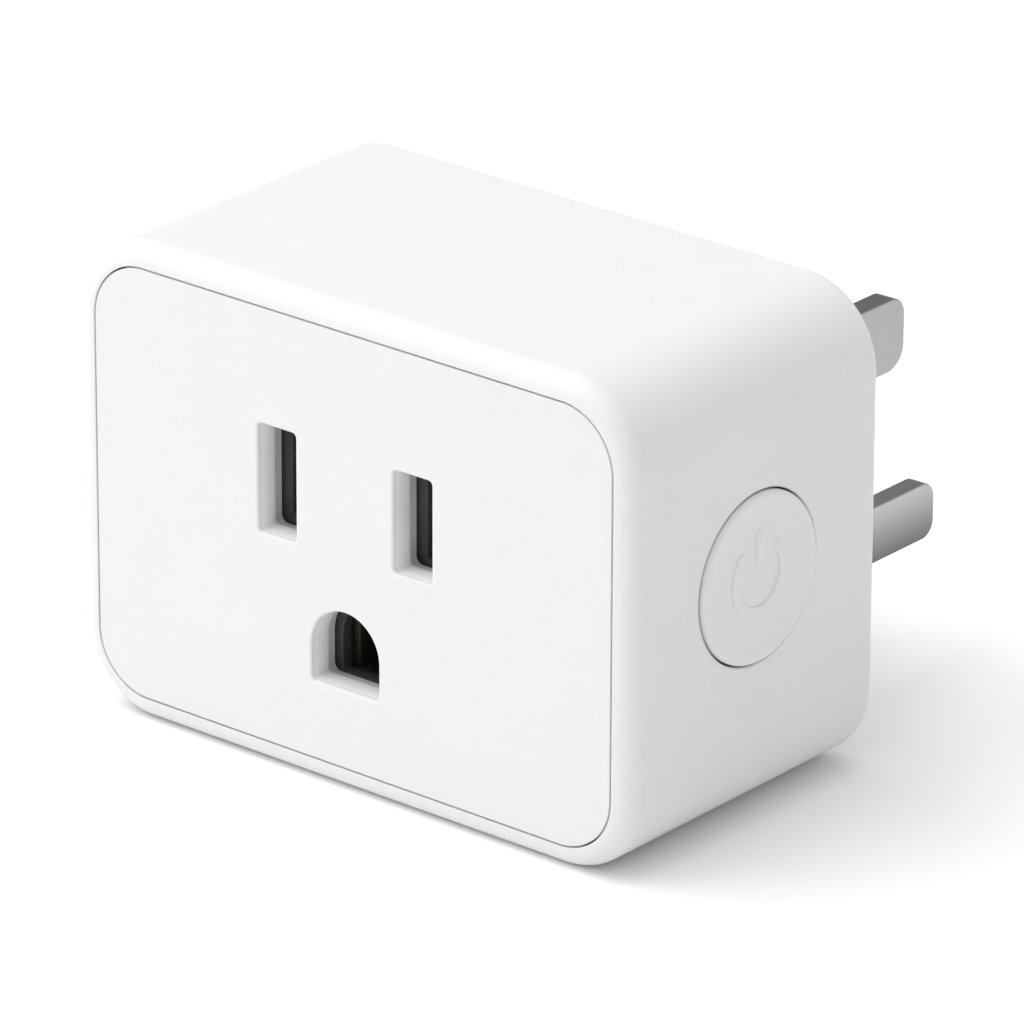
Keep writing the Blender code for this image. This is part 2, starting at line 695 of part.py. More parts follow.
SHOULDER_REAR = -2.15 * MM
SHOULDER_FRONT = -3.15 * MM
RETAINER_REAR = -3.3 * MM
RETAINER_FRONT = -4.35 * MM
PRONG_TAIL_Z = BLADES_Z + 2.05 * MM
SHOULDER = 1.7 * MM  # how far a blade's shoulder stands out above and below it


def blade(name, x):
    """A flat blade with a rounded tip, a shoulder behind the rear cover and a solder tail."""
    half, tip, corner = BLADE_HEIGHT / 2, BLADE_LENGTH, 1.3 * MM
    middle = BLADES_Z
    outline = arc((tip - corner, middle + half - corner), corner, 90, 0, 5)
    outline += arc((tip - corner, middle - half + corner), corner, 0, -90, 5)
    tail_low, tail_high = PRONG_TAIL_Z - TAIL_WIDTH / 2, PRONG_TAIL_Z + TAIL_WIDTH / 2
    shoulder = half + SHOULDER
    outline += [
        (SHOULDER_REAR, middle - half),
        (SHOULDER_REAR, middle - shoulder),
        (SHOULDER_FRONT, middle - shoulder),
        (SHOULDER_FRONT, tail_low),
        (BOARD_FRONT + 0.2 * MM, tail_low),
        (BOARD_FRONT + 0.2 * MM, tail_high),
        (SHOULDER_FRONT, tail_high),
        (SHOULDER_FRONT, middle + shoulder),
        (SHOULDER_REAR, middle + shoulder),
        (SHOULDER_REAR, middle + half),
    ]
    half_x = BLADE_THICKNESS / 2
    return outline_plate(name, [outline], "side", x - half_x, x + half_x, NICKEL, PRONG_EDGE)


def ground_pin():
    """A thick flat pin with a rounded tip, a collar behind the rear cover and a tail."""
    middle, half, tip = GROUND_PIN_Z, GROUND_PIN_HEIGHT / 2, GROUND_PIN_LENGTH
    upper, lower = 1.5 * MM, 1.9 * MM
    outline = arc((tip - upper, middle + half - upper), upper, 90, 0, 5)
    outline += arc((tip - lower, middle - half + lower), lower, 0, -90, 6)
    outline += [(SHOULDER_FRONT, middle - half), (SHOULDER_FRONT, middle + half)]
    half_x = GROUND_PIN_THICKNESS / 2
    ends = (PRONGS_X - half_x, PRONGS_X + half_x)
    pin = outline_plate("ground_pin", [outline], "side", *ends, NICKEL, PRONG_EDGE)
    half_x, half_z = half_x + 0.8 * MM, half + 0.7 * MM
    low = (PRONGS_X - half_x, SHOULDER_FRONT, middle - half_z)
    collar = cut_box("ground_pin_collar", low, (PRONGS_X + half_x, SHOULDER_REAR, middle + half_z))
    half_x, half_z = TAIL_WIDTH / 2, TAIL_THICKNESS / 2
    low = (PRONGS_X - half_x, TAIL_REAR - 1.3 * MM, PIN_TAIL_Z - half_z)
    tail = cut_box("ground_pin_tail", low, (PRONGS_X + half_x, SHOULDER_REAR, PIN_TAIL_Z + half_z))
    return join(pin, collar, tail)


def prong_retainer():
    """Insulating plate staked to the rear cover. It traps the prongs' shoulders."""
    low = (1.4 * MM, RETAINER_FRONT, -11.2 * MM)
    plate = box("prong_retainer", low, (19.4 * MM, RETAINER_REAR, 9.4 * MM), BLACK, 1.0 * MM, 1, 3)
    past = 1.0 * MM
    y_low, y_high = RETAINER_FRONT - past, RETAINER_REAR + past
    grow = 0.15 * MM
    holes = [
        cut_box(
            f"retainer_{side}",
            *centred(x, PRONG_TAIL_Z, BLADE_THICKNESS + 2 * grow, TAIL_WIDTH + 2 * grow, y_low, y_high),
        )
        for side, x in (("line", LINE_PRONG_X), ("neutral", NEUTRAL_PRONG_X))
    ]
    wide = centred(PRONGS_X, PIN_TAIL_Z, TAIL_WIDTH + 2 * grow, TAIL_THICKNESS + 2 * grow, y_low, y_high)
    holes.append(cut_box("retainer_ground", *wide))
    for number, (x, z) in enumerate(RETAINER_PEGS, 1):
        middle = (x, (y_low + y_high) / 2, z)
        holes.append(cut_cylinder(f"retainer_peg_{number}", middle, 1.15 * MM, y_high - y_low, 1, 12))
    return cut(plate, *holes)


def rectangle(x, z, width, height):
    corners = ((-1, -1), (-1, 1), (1, 1), (1, -1))
    return [(x + sx * width / 2, z + sz * height / 2) for sx, sz in corners]


def bus_bars():
    """Flat brass links behind the board: neutral prong to neutral contact, ground pin to ground contact."""
    grow = 0.15 * MM
    width = 2.6 * MM
    low, high = 9.9 * MM, 12.3 * MM
    right, left = NEUTRAL_PRONG_X + 1.6 * MM, NEUTRAL_X - 1.6 * MM
    foot, end = PRONG_TAIL_Z - 2.2 * MM, OUTLET_Z - 2.2 * MM
    neutral = [
        (right, foot),
        (right, high),
        (left, high),
        (left, end),
        (left + 3.2 * MM, end),
        (left + 3.2 * MM, low),
        (right - 3.2 * MM, low),
        (right - 3.2 * MM, foot),
    ]
    holes = [
        rectangle(NEUTRAL_PRONG_X, PRONG_TAIL_Z, BLADE_THICKNESS + 2 * grow, TAIL_WIDTH + 2 * grow),
        rectangle(NEUTRAL_X, OUTLET_Z, TAIL_THICKNESS + 2 * grow, TAIL_WIDTH + 2 * grow),
    ]
    outline_plate("neutral_bus", [neutral, *holes], "front", BUS_FRONT, BUS_REAR, BRASS)

    top, bottom = PIN_TAIL_Z + 1.3 * MM, GROUND_TAIL_Z - 1.4 * MM
    ground = [
        (PRONGS_X + 2.2 * MM, top),
        (-2.2 * MM, top),
        (-2.2 * MM, bottom),
        (2.0 * MM, bottom),
        (2.0 * MM, GROUND_TAIL_Z + 1.4 * MM),
        (width - 2.2 * MM, GROUND_TAIL_Z + 2.6 * MM),
        (width - 2.2 * MM, top - width),
        (PRONGS_X + 2.2 * MM, top - width),
    ]
    holes = [
        rectangle(PRONGS_X, PIN_TAIL_Z, TAIL_WIDTH + 2 * grow, TAIL_THICKNESS + 2 * grow),
        rectangle(OUTLET_X, GROUND_TAIL_Z, TAIL_WIDTH + 2 * grow, 0.6 * MM + 2 * grow),
    ]
    outline_plate("ground_strap", [ground, *holes], "front", BUS_FRONT, BUS_REAR, BRASS)


# ---------------------------------------------------------------- power board and its parts


def power_board():
    """The main board, upright across the case, notched round the four corner bosses."""
    half_x, half_z = INNER_X - 0.4 * MM, INNER_Z - 0.4 * MM
    low, high = (-half_x, BOARD_FRONT, -half_z), (half_x, BOARD_REAR, half_z)
    board = box("power_board", low, high, BOARD, 1.0 * MM, 1, 2)
    past = 1.0 * MM
    y_low, y_high = BOARD_FRONT - past, BOARD_REAR + past
    holes = tail_slots("board", 0.2 * MM, y_low, y_high)
    for number, (x, z) in enumerate(CASE_SCREWS, 1):
        reach = CASE_BOSS_RADIUS + 0.4 * MM
        far_x, far_z = math.copysign(WIDTH / 2, x), math.copysign(HEIGHT / 2, z)
        near_x, near_z = x - math.copysign(reach, x), z - math.copysign(reach, z)
        low = (min(near_x, far_x), y_low, min(near_z, far_z))
        high = (max(near_x, far_x), y_high, max(near_z, far_z))
        holes.append(cut_box(f"board_notch_{number}", low, high))
    clear = BUTTON_RADIUS + 2.0 * MM
    low = (FLANGE_INNER - 0.4 * MM, y_low, BUTTON_Z - clear)
    holes.append(cut_box("board_button_notch", low, (WIDTH / 2, y_high, BUTTON_Z + clear)))
    for number, (x, z) in enumerate(BOARD_SCREWS, 1):
        middle, radius = (x, (y_low + y_high) / 2, z), SHANK_RADIUS + 0.25 * MM
        holes.append(cut_cylinder(f"board_screw_hole_{number}", middle, radius, y_high - y_low, 1, 12))
    grow = 0.2 * MM
    for side, x in (("line", LINE_PRONG_X), ("neutral", NEUTRAL_PRONG_X)):
        slot = centred(x, PRONG_TAIL_Z, BLADE_THICKNESS + 2 * grow, TAIL_WIDTH + 2 * grow, y_low, y_high)
        holes.append(cut_box(f"board_{side}_prong", *slot))
    for x, z, width, height in RELAY_LEADS.values():
        slot = centred(x, z, width + 2 * grow, height + 2 * grow, y_low, y_high)
        holes.append(cut_box("board_relay_lead", *slot))
    return cut(board, *holes)


def electrolytic(name, x, z, radius, height):
    """A capacitor can standing on the board, with a crimped waist and a sleeve lip at its top."""
    rear = BOARD_FRONT - 0.1 * MM
    lip, waist = 0.3 * MM, radius - 0.35 * MM
    profile = [
        (0, -rear + height - 0.15 * MM),
        (radius - 0.9 * MM, -rear + height - 0.15 * MM),
        (radius - 0.7 * MM, -rear + height),
        (radius - lip, -rear + height),
        (radius, -rear + height - lip),
        (radius, -rear + 2.6 * MM),
        (waist, -rear + 2.2 * MM),
        (waist, -rear + 1.8 * MM),
        (radius, -rear + 1.4 * MM),
        (radius, -rear),
        (0, -rear),
    ]
    return turned(name, profile, (x, 0, z), STANDING, CAN, 18)


def drum_choke():
    """A ferrite drum core and the copper winding between its flanges."""
    x, z, rear = -12.9 * MM, 3.6 * MM, BOARD_FRONT - 0.1 * MM
    flange, barrel, height, rim = 2.5 * MM, 1.2 * MM, 7.0 * MM, 1.1 * MM
    core = [
        (0, -rear + height),
        (flange, -rear + height),
        (flange, -rear + height - rim),
        (barrel, -rear + height - rim),
        (barrel, -rear + rim),
        (flange, -rear + rim),
        (flange, -rear),
        (0, -rear),
    ]
    turned("choke_core", core, (x, 0, z), STANDING, FERRITE, 20)
    gap, outer = 0.1 * MM, 2.2 * MM
    low, high = rear - height + rim + gap, rear - rim - gap
    tube("choke_winding", (x, z), barrel + gap, outer, low, high, COPPER)


def tube(name, centre, inner, outer, y_low, y_high, made_of, sides=20):
    """A round tube along Y."""
    x, z = centre
    middle = (x, (y_low + y_high) / 2, z)
    made = cylinder(name, middle, outer, y_high - y_low, 1, made_of, sides)
    return cut(made, cut_cylinder(f"{name}_bore", middle, inner, 2 * (y_high - y_low), 1, sides))


def discrete_parts():
    """Input filter, rectifier and supply parts on the left of the board."""
    electrolytic("input_capacitor_1", -19.2 * MM, 6.6 * MM, 4.0 * MM, 12.0 * MM)
    electrolytic("input_capacitor_2", -19.2 * MM, -2.0 * MM, 4.0 * MM, 12.0 * MM)
    electrolytic("output_capacitor", -12.6 * MM, 12.6 * MM, 3.15 * MM, 9.0 * MM)
    drum_choke()
    front = BOARD_FRONT - 0.1 * MM
    inductor = [(0, 8.0), (1.6, 8.0), (2.2, 7.4), (2.2, 0.6), (1.6, 0.0), (0, 0.0)]
    profile = [(r * MM, h * MM) for r, h in inductor]
    turned("filter_inductor", profile, (-12.7 * MM, front, -2.6 * MM), STANDING, FERRITE, 18)
    disc, thick = 3.5 * MM, 3.2 * MM
    middle = (-12.2 * MM, front - disc - 0.6 * MM, -8.6 * MM)
    varistor = cylinder("varistor", middle, disc, thick, 0, VARISTOR, 24)
    soften = varistor.modifiers.new("soft_edge", "BEVEL")
    soften.width = 0.9 * MM
    soften.segments = 2
    soften.limit_method = "ANGLE"
    upper = [(0, 4.2), (1.0, 4.2), (1.4, 3.7), (1.4, 2.7), (1.2, 2.3)]
    body = [(r * MM, h * MM) for r, h in upper]
    body += [(r, -h) for r, h in reversed(body)]
    place = (-16.7 * MM, front - 1.7 * MM, -10.9 * MM)
    turned("fuse_resistor", body, place, AXIS_TURN[2], RESISTOR, 18)
    rear = BOARD_REAR + 0.05 * MM
    low, high = (-17.0 * MM, rear, 1.0 * MM), (-12.3 * MM, rear + 2.4 * MM, 4.9 * MM)
    box("bridge_rectifier", low, high, BLACK, 0.3 * MM, 1, 2)
    low, high = (-16.8 * MM, rear, -8.0 * MM), (-11.9 * MM, rear + 1.5 * MM, -4.1 * MM)
    box("power_ic", low, high, BLACK, 0.3 * MM, 1, 2)


def wifi_module():
    """The radio board over the contact holder, its shield can and the header that carries it."""
    low, high = mm(-9.0, -23.6, 11.0), (9.0 * MM, BOARD_FRONT - 0.2 * MM, 11.8 * MM)
    box("wifi_board", low, high, BOARD)
    shield = box("wifi_shield", mm(-3.2, -22.6, 11.85), mm(8.2, -10.6, 13.9), STEEL, 0.5 * MM, 2, 2)
    cut(shield, cut_box("shield_inside", mm(-2.95, -22.35, 11.0), mm(7.95, -10.85, 13.65)))
    low, high = mm(-7.6, -10.2, 9.4), (7.6 * MM, BOARD_FRONT - 0.1 * MM, 10.9 * MM)
    box("board_header", low, high, BLACK)


# ---------------------------------------------------------------- relay

RELAY_X = 13.8 * MM
RELAY_HALF_X = 3.6 * MM
RELAY_HALF_Z = 10.25 * MM
RELAY_TOP = -22.8 * MM
RELAY_FOOT = BOARD_FRONT - 0.2 * MM
BASE_TOP = -9.5 * MM
COIL_Z = -3.6 * MM
YOKE_END = -20.8 * MM
HINGE = (RELAY_X, YOKE_END - 0.1 * MM, 1.85 * MM)  # the armature rocks on the yoke's end
CONTACT_Y = -14.2 * MM
CONTACT_RADIUS = 1.1 * MM
LEAD_END = -5.6 * MM
RELAY_LEADS = {
    # x, z, width and height of each lead where it passes through the board
    "relay_fixed_contact": (RELAY_X, 6.9 * MM, 2.2 * MM, 0.5 * MM),
    "relay_common_terminal": (RELAY_X, 3.6 * MM, 2.2 * MM, 0.5 * MM),
    "relay_coil_pin_1": (RELAY_X - 1.9 * MM, -8.6 * MM, 0.6 * MM, 0.6 * MM),
    "relay_coil_pin_2": (RELAY_X + 1.9 * MM, -8.6 * MM, 0.6 * MM, 0.6 * MM),
}


def relay_lead(name, top, made_of, collection=plug):
    """A straight lead from inside the relay through its base and the board."""
    x, z, width, height = RELAY_LEADS[name]
    return box(name, *centred(x, z, width, height, top, LEAD_END), made_of, collection=collection)


def relay_case():
    skin = 0.5 * MM
    low = (RELAY_X - RELAY_HALF_X, RELAY_TOP, -RELAY_HALF_Z)
    high = (RELAY_X + RELAY_HALF_X, RELAY_FOOT - 0.6 * MM, RELAY_HALF_Z)
    cover = box("relay_cover", low, high, RELAY, 0.6 * MM, 1, 2)
    inner_x, inner_z = RELAY_HALF_X - skin, RELAY_HALF_Z - skin
    low = (RELAY_X - inner_x, RELAY_TOP + skin, -inner_z)
    cut(cover, cut_box("relay_inside", low, (RELAY_X + inner_x, 0, inner_z)))

    fit = 0.1 * MM
    low = (RELAY_X - inner_x + fit, BASE_TOP, -inner_z + fit)
    high = (RELAY_X + inner_x - fit, RELAY_FOOT, inner_z - fit)
    base = box("relay_base", low, high, BLACK)
    grow = 0.1 * MM
    for name, (x, z, width, height) in RELAY_LEADS.items():
        slot = centred(x, z, width + 2 * grow, height + 2 * grow, BASE_TOP - 1.0 * MM, 0)
        cut(base, cut_box(f"{name}_hole", *slot))


def relay_magnet():
    """Bobbin, winding, iron core with its pole face, and the L-shaped yoke."""
    coil_low, coil_high = -19.3 * MM, -11.2 * MM
    flange = 0.6 * MM
    bobbin_low, bobbin_high = coil_low - flange, coil_high + flange
    flange_half = 2.9 * MM
    bobbin = cylinder(
        "relay_bobbin",
        (RELAY_X, (bobbin_low + bobbin_high) / 2, COIL_Z),
        1.6 * MM,
        bobbin_high - bobbin_low,
        1,
        CREAM,
        20,
    )
    for number, low in enumerate((bobbin_low, coil_high), 1):
        ends = centred(RELAY_X, COIL_Z, 2 * flange_half, 2 * flange_half + 1.0 * MM, low, low + flange)
        join(bobbin, cut_box(f"bobbin_flange_{number}", *ends, radius=0.8 * MM))
    middle = (RELAY_X, (bobbin_low + bobbin_high) / 2, COIL_Z)
    cut(bobbin, cut_cylinder("bobbin_bore", middle, 1.25 * MM, 20.0 * MM, 1, 20))
    slack = 0.1 * MM
    tube("relay_coil", (RELAY_X, COIL_Z), 1.7 * MM, 2.75 * MM, coil_low + slack, coil_high - slack, COPPER)

    pole_top, pole_radius, core_radius = -20.45 * MM, 2.2 * MM, 1.15 * MM
    core = [
        (0, -pole_top),
        (pole_radius, -pole_top),
        (pole_radius, -pole_top - 0.45 * MM),
        (core_radius, -pole_top - 0.45 * MM),
        (core_radius, 10.55 * MM),
        (0, 10.55 * MM),
    ]
    turned("relay_core", core, (RELAY_X, 0, COIL_Z), STANDING, STEEL, 20)

    yoke_half, leg_low, leg_high = 2.6 * MM, 1.3 * MM, 2.4 * MM
    foot_front, foot_rear, foot_low = -10.5 * MM, -9.7 * MM, -6.9 * MM
    outline = [
        (foot_rear, leg_high),
        (YOKE_END, leg_high),
        (YOKE_END, leg_low),
        (foot_front, leg_low),
        (foot_front, foot_low),
        (foot_rear, foot_low),
    ]
    outline_plate("relay_yoke", [outline], "side", RELAY_X - yoke_half, RELAY_X + yoke_half, STEEL)


def relay_moving_parts():
    """The armature on its knife edge at the yoke's end, with the contact spring fixed to it."""
    low = (RELAY_X - 2.5 * MM, -21.8 * MM, -6.6 * MM)
    high = (RELAY_X + 2.5 * MM, -21.0 * MM, 2.3 * MM)
    pivot(box("relay_armature", low, high, STEEL), HINGE)
    bends = [(-21.95, -2.0), (-21.95, 3.0), (-21.4, 3.7), (-20.2, 4.2), (-13.0, 4.2)]
    path = [(y * MM, z * MM) for y, z in bends]
    half = 1.4 * MM
    spring = sheet("relay_contact_spring", path, "YZ", RELAY_X - half, RELAY_X + half, 0.2 * MM, BRASS)
    rivet = cut_cylinder("spring_rivet", (RELAY_X, CONTACT_Y, 4.6 * MM), CONTACT_RADIUS, 0.9 * MM, 2, 16)
    return join(pivot(spring, HINGE), rivet)


def relay_leads():
    fixed = relay_lead("relay_fixed_contact", -15.6 * MM, BRASS)
    rivet = cut_cylinder("fixed_rivet", (RELAY_X, CONTACT_Y, 6.15 * MM), CONTACT_RADIUS, 1.2 * MM, 2, 16)
    join(fixed, rivet)
    relay_lead("relay_common_terminal", -11.5 * MM, BRASS)
    for number in (1, 2):
        relay_lead(f"relay_coil_pin_{number}", -10.8 * MM, STEEL)


# ---------------------------------------------------------------- build

housing()
front_cover()
rear_cover()
for index, (screw_x, screw_z) in enumerate(CASE_SCREWS, 1):
    screw(f"rear_screw_{index}", (screw_x, -0.25 * MM, screw_z), 2.0 * MM, 1.0 * MM, 9.0 * MM)
button_cap()
tact_switch()
button_board()
blade_contact("neutral_contact", NEUTRAL_X, TAIL_REAR)
blade_contact("line_contact", LINE_X, LINE_TAIL_REAR)
ground_contact()
contact_holder()
blade("neutral_blade", NEUTRAL_PRONG_X)
blade("line_blade", LINE_PRONG_X)
ground_pin()
prong_retainer()
bus_bars()
power_board()
for index, (screw_x, screw_z) in enumerate(BOARD_SCREWS, 1):
    screw(f"board_screw_{index}", (screw_x, BOARD_REAR + 1.35 * MM, screw_z), 1.8 * MM, 1.3 * MM, 8.0 * MM)
discrete_parts()
wifi_module()
relay_case()
relay_magnet()
relay_moving_parts()
relay_leads()
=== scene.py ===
import math

import bmesh
import bpy
from mathutils import Matrix, Vector


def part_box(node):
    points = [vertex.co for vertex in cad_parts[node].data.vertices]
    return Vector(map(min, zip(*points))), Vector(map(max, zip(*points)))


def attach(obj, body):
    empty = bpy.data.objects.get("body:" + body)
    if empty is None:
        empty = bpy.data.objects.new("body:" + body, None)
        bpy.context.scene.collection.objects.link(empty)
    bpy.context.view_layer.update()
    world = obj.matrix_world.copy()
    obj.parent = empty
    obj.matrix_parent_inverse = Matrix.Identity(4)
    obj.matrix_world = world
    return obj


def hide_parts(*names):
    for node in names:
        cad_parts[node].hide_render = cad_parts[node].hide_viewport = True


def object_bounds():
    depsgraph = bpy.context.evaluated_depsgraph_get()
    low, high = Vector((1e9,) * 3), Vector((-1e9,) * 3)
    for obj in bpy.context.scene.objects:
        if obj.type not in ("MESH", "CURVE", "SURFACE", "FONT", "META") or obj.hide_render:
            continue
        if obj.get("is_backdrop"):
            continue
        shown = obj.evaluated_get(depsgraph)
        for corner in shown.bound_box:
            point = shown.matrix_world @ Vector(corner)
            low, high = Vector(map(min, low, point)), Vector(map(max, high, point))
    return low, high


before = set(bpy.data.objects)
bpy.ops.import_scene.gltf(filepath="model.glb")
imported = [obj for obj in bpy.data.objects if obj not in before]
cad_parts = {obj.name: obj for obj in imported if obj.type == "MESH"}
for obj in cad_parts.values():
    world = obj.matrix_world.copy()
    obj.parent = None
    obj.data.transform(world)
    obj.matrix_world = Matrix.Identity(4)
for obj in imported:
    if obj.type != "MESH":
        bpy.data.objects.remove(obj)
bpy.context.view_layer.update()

MM = 0.001

# ---------------------------------------------------------------- places, from the CAD parts

HOUSING_LOW, HOUSING_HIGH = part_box("housing")
COVER_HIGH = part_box("front_cover")[1]
REAR_LOW, REAR_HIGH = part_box("rear_cover")
CAP_LOW, CAP_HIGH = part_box("button_cap")
NEUTRAL_LOW, NEUTRAL_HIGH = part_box("neutral_blade")
LINE_LOW, LINE_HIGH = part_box("line_blade")
PIN_LOW, PIN_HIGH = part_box("ground_pin")
BOARD_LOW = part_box("power_board")[0]
BUTTON_BOARD_LOW, BUTTON_BOARD_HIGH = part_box("button_board")
CASE_SCREWS = [f"rear_screw_{n}" for n in range(1, 5)]
BOARD_SCREWS = [f"board_screw_{n}" for n in range(1, 4)]


def middle(low, high):
    return (low + high) / 2


FRONT = HOUSING_LOW.y
REAR = HOUSING_HIGH.y
OUTER_X, OUTER_Z = HOUSING_HIGH.x, HOUSING_HIGH.z
BUTTON = middle(CAP_LOW, CAP_HIGH)

# ---------------------------------------------------------------- sizes of the details

CORNER_RADIUS = 6.4 * MM
FRONT_FILLET = 1.6 * MM
REAR_FILLET = 0.9 * MM
WALL = 2.0 * MM
SEAM = 0.13 * MM
RECESS_GAP = 0.15 * MM
FRONT_WALL = 0.85 * MM
LEDGE_DEPTH = 2.2 * MM
BOSS_RADIUS = 2.6 * MM
POST_RADIUS = 2.2 * MM
PILOT_RADIUS = 1.2 * MM
PILOT_DEPTH = 10.0 * MM
OUTLET_X = -0.4 * MM
BLADE_SPACING = 12.7 * MM
SLOTS_Z = 3.7 * MM
SLOT_WIDTH = 3.9 * MM
SLOT_RADIUS = 0.5 * MM
NEUTRAL_SLOT_HEIGHT = 8.7 * MM
LINE_SLOT_HEIGHT = 8.2 * MM
GROUND_HOLE_Z = -7.85 * MM
GROUND_HOLE_WIDTH = 6.65 * MM
GROUND_HOLE_HEIGHT = 6.3 * MM
GROUND_HOLE_CORNER = 0.5 * MM
MOUTH = 0.22 * MM  # rounding of the outlet's mouths
MOUTH_SPREAD = 0.06 * MM  # how far a mouth opens beyond the slot's size
BUTTON_RADIUS = 6.45 * MM
BUTTON_CLEARANCE = 0.15 * MM
SHOULDER = 1.7 * MM  # how far a blade widens inside the case
SLACK = 0.1 * MM  # clearance between two pieces
OVERLAP = 0.3 * MM  # how far an added block reaches into the wall it joins
CORNER_STEPS = 28
FILLET_STEPS = 10
BUTTON_STEPS = 128


# ---------------------------------------------------------------- outlines: functions of grow


def arc(centre, radius, start, end, steps):
    """Points on an arc, as (u, v), angles in degrees."""
    turns = [math.radians(start + (end - start) * n / steps) for n in range(steps + 1)]
    return [(centre[0] + radius * math.cos(t), centre[1] + radius * math.sin(t)) for t in turns]


def rounded(half_u, half_v, radius, centre=(0.0, 0.0), steps=CORNER_STEPS):
    """A rounded rectangle's outline, as a function that grows it."""

    def outline(grow):
        points = []
        reach = radius + grow
        for quarter, (side_u, side_v) in enumerate(((1, 1), (-1, 1), (-1, -1), (1, -1))):
            corner = (centre[0] + side_u * (half_u - radius), centre[1] + side_v * (half_v - radius))
            points += arc(corner, reach, 90 * quarter, 90 * quarter + 90, steps)
        return points

    return outline


def circle(centre, steps):
    """A circle whose radius is the grow."""

    def outline(grow):
        return arc(centre, grow, 0, 360 * (steps - 1) / steps, steps - 1)

    return outline


def grown(points):
    """Any closed outline, as a function that moves its sides out by grow."""
    count = len(points)
    turn = sum(
        points[i][0] * points[(i + 1) % count][1] - points[(i + 1) % count][0] * points[i][1]
        for i in range(count)
    )
    sign = 1 if turn > 0 else -1

    def outline(grow):
        moved = []
        for i, (u, v) in enumerate(points):
            before = Vector(points[i]) - Vector(points[i - 1])
            after = Vector(points[(i + 1) % count]) - Vector(points[i])
            first = Vector((before.y, -before.x)).normalized() * sign
            second = Vector((after.y, -after.x)).normalized() * sign
            step = (first + second) / (1 + first.dot(second)) * grow
            moved.append((u + step.x, v + step.y))
        return moved

    return outline


ARCH_STEPS = 32
ARCH_CORNER_STEPS = 6


def arch(width, height, corner, centre_u, flat_v):
    """A half circle over a straight part with a flat base at flat_v, corners rounded."""
    radius = width / 2
    top_v = height - radius
    points = arc((0, top_v), radius, 0, 180, ARCH_STEPS)
    points += arc((-radius + corner, corner), corner, 180, 270, ARCH_CORNER_STEPS)
    points += arc((radius - corner, corner), corner, 270, 360, ARCH_CORNER_STEPS)
    return grown([(centre_u + u, flat_v + v) for u, v in points])


# ---------------------------------------------------------------- meshes


def front_place(u, v, depth):
    return (u, depth, v)


def side_place(u, v, depth):
    return (depth, u, v)


SAME_POINT = 0.00001 * MM
SHARP_ANGLE = 32  # degrees


def loop_edges(bm, ring):
    pairs = zip(ring, ring[1:] + ring[:1])
    return [bm.edges.get(pair) or bm.edges.new(pair) for pair in pairs]


def skin(bm, rings):
    """Quads between rings of points. Returns the first and the last ring's edges."""
    made = [[bm.verts.new(point) for point in ring] for ring in rings]
    for near, far in zip(made, made[1:]):
        for i in range(len(near)):
            j = (i + 1) % len(near)
            bm.faces.new((near[i], near[j], far[j], far[i]))
    return loop_edges(bm, made[0]), loop_edges(bm, made[-1])


def loft(bm, outline, path, place=front_place):
    """An outline carried along a path of (grow, depth) steps."""
    return skin(bm, [[place(u, v, depth) for u, v in outline(grow)] for grow, depth in path])


def cap(bm, *loops):
    """Fills flat loops of edges; the inner ones stay open as holes."""
    edges = [edge for loop in loops for edge in loop]
    bmesh.ops.triangle_fill(bm, edges=edges, use_beauty=True, use_dissolve=False)


def closed(bm, outline, path, place=front_place):
    """A loft with both of its ends capped."""
    for end in loft(bm, outline, path, place):
        cap(bm, end)


def link(name, bm):
    """Closes a mesh and gives it an object."""
    bmesh.ops.remove_doubles(bm, verts=bm.verts, dist=SAME_POINT)
    bmesh.ops.recalc_face_normals(bm, faces=bm.faces)
    mesh = bpy.data.meshes.new(name)
    bm.to_mesh(mesh)
    bm.free()
    made = bpy.data.objects.new(name, mesh)
    bpy.context.scene.collection.objects.link(made)
    return made


def combine(target, other, operation):
    """Applies one exact boolean and removes the other object."""
    step = target.modifiers.new("combine", "BOOLEAN")
    step.operation = operation
    step.solver = "EXACT"
    step.object = other
    graph = bpy.context.evaluated_depsgraph_get()
    mesh = bpy.data.meshes.new_from_object(target.evaluated_get(graph))
    target.modifiers.clear()
    target.data = mesh
    bpy.data.objects.remove(other)
    return target


def block(name, low, high):
    """A box for a boolean."""
    bm = bmesh.new()
    bmesh.ops.create_cube(bm, size=1.0)
    low, high = Vector(low), Vector(high)
    bmesh.ops.scale(bm, vec=high - low, verts=bm.verts)
    bmesh.ops.translate(bm, vec=(low + high) / 2, verts=bm.verts)
    return link(name, bm)


def shade(obj):
    """Smooth shading with sharp edges kept, and normals that follow the large faces."""
    mesh = obj.data
    mesh.polygons.foreach_set("use_smooth", [True] * len(mesh.polygons))
    mesh.set_sharp_from_angle(angle=math.radians(SHARP_ANGLE))
    weighted = obj.modifiers.new("face_weights", "WEIGHTED_NORMAL")
    weighted.keep_sharp = True
    weighted.weight = 80
    return obj


def piece(obj, look, body, slot, *nodes):
    """Hands a finished mesh to its body in place of the CAD nodes."""
    obj.data.materials.clear()
    obj.data.materials.append(look)
    shade(obj)
    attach(obj, body)
    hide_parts(*nodes)
    return obj


# ---------------------------------------------------------------- materials


def node(tree, kind, inputs=None, **settings):
    made = tree.nodes.new(kind)
    for key, value in settings.items():
        setattr(made, key, value)
    for key, value in (inputs or {}).items():
        if isinstance(value, bpy.types.NodeSocket):
            tree.links.new(value, made.inputs[key])
        else:
            made.inputs[key].default_value = value
    return made


def math_node(tree, operation, first, second=0.0, clamp=False):
    made = node(tree, "ShaderNodeMath", {0: first, 1: second}, operation=operation, use_clamp=clamp)
    return made.outputs[0]


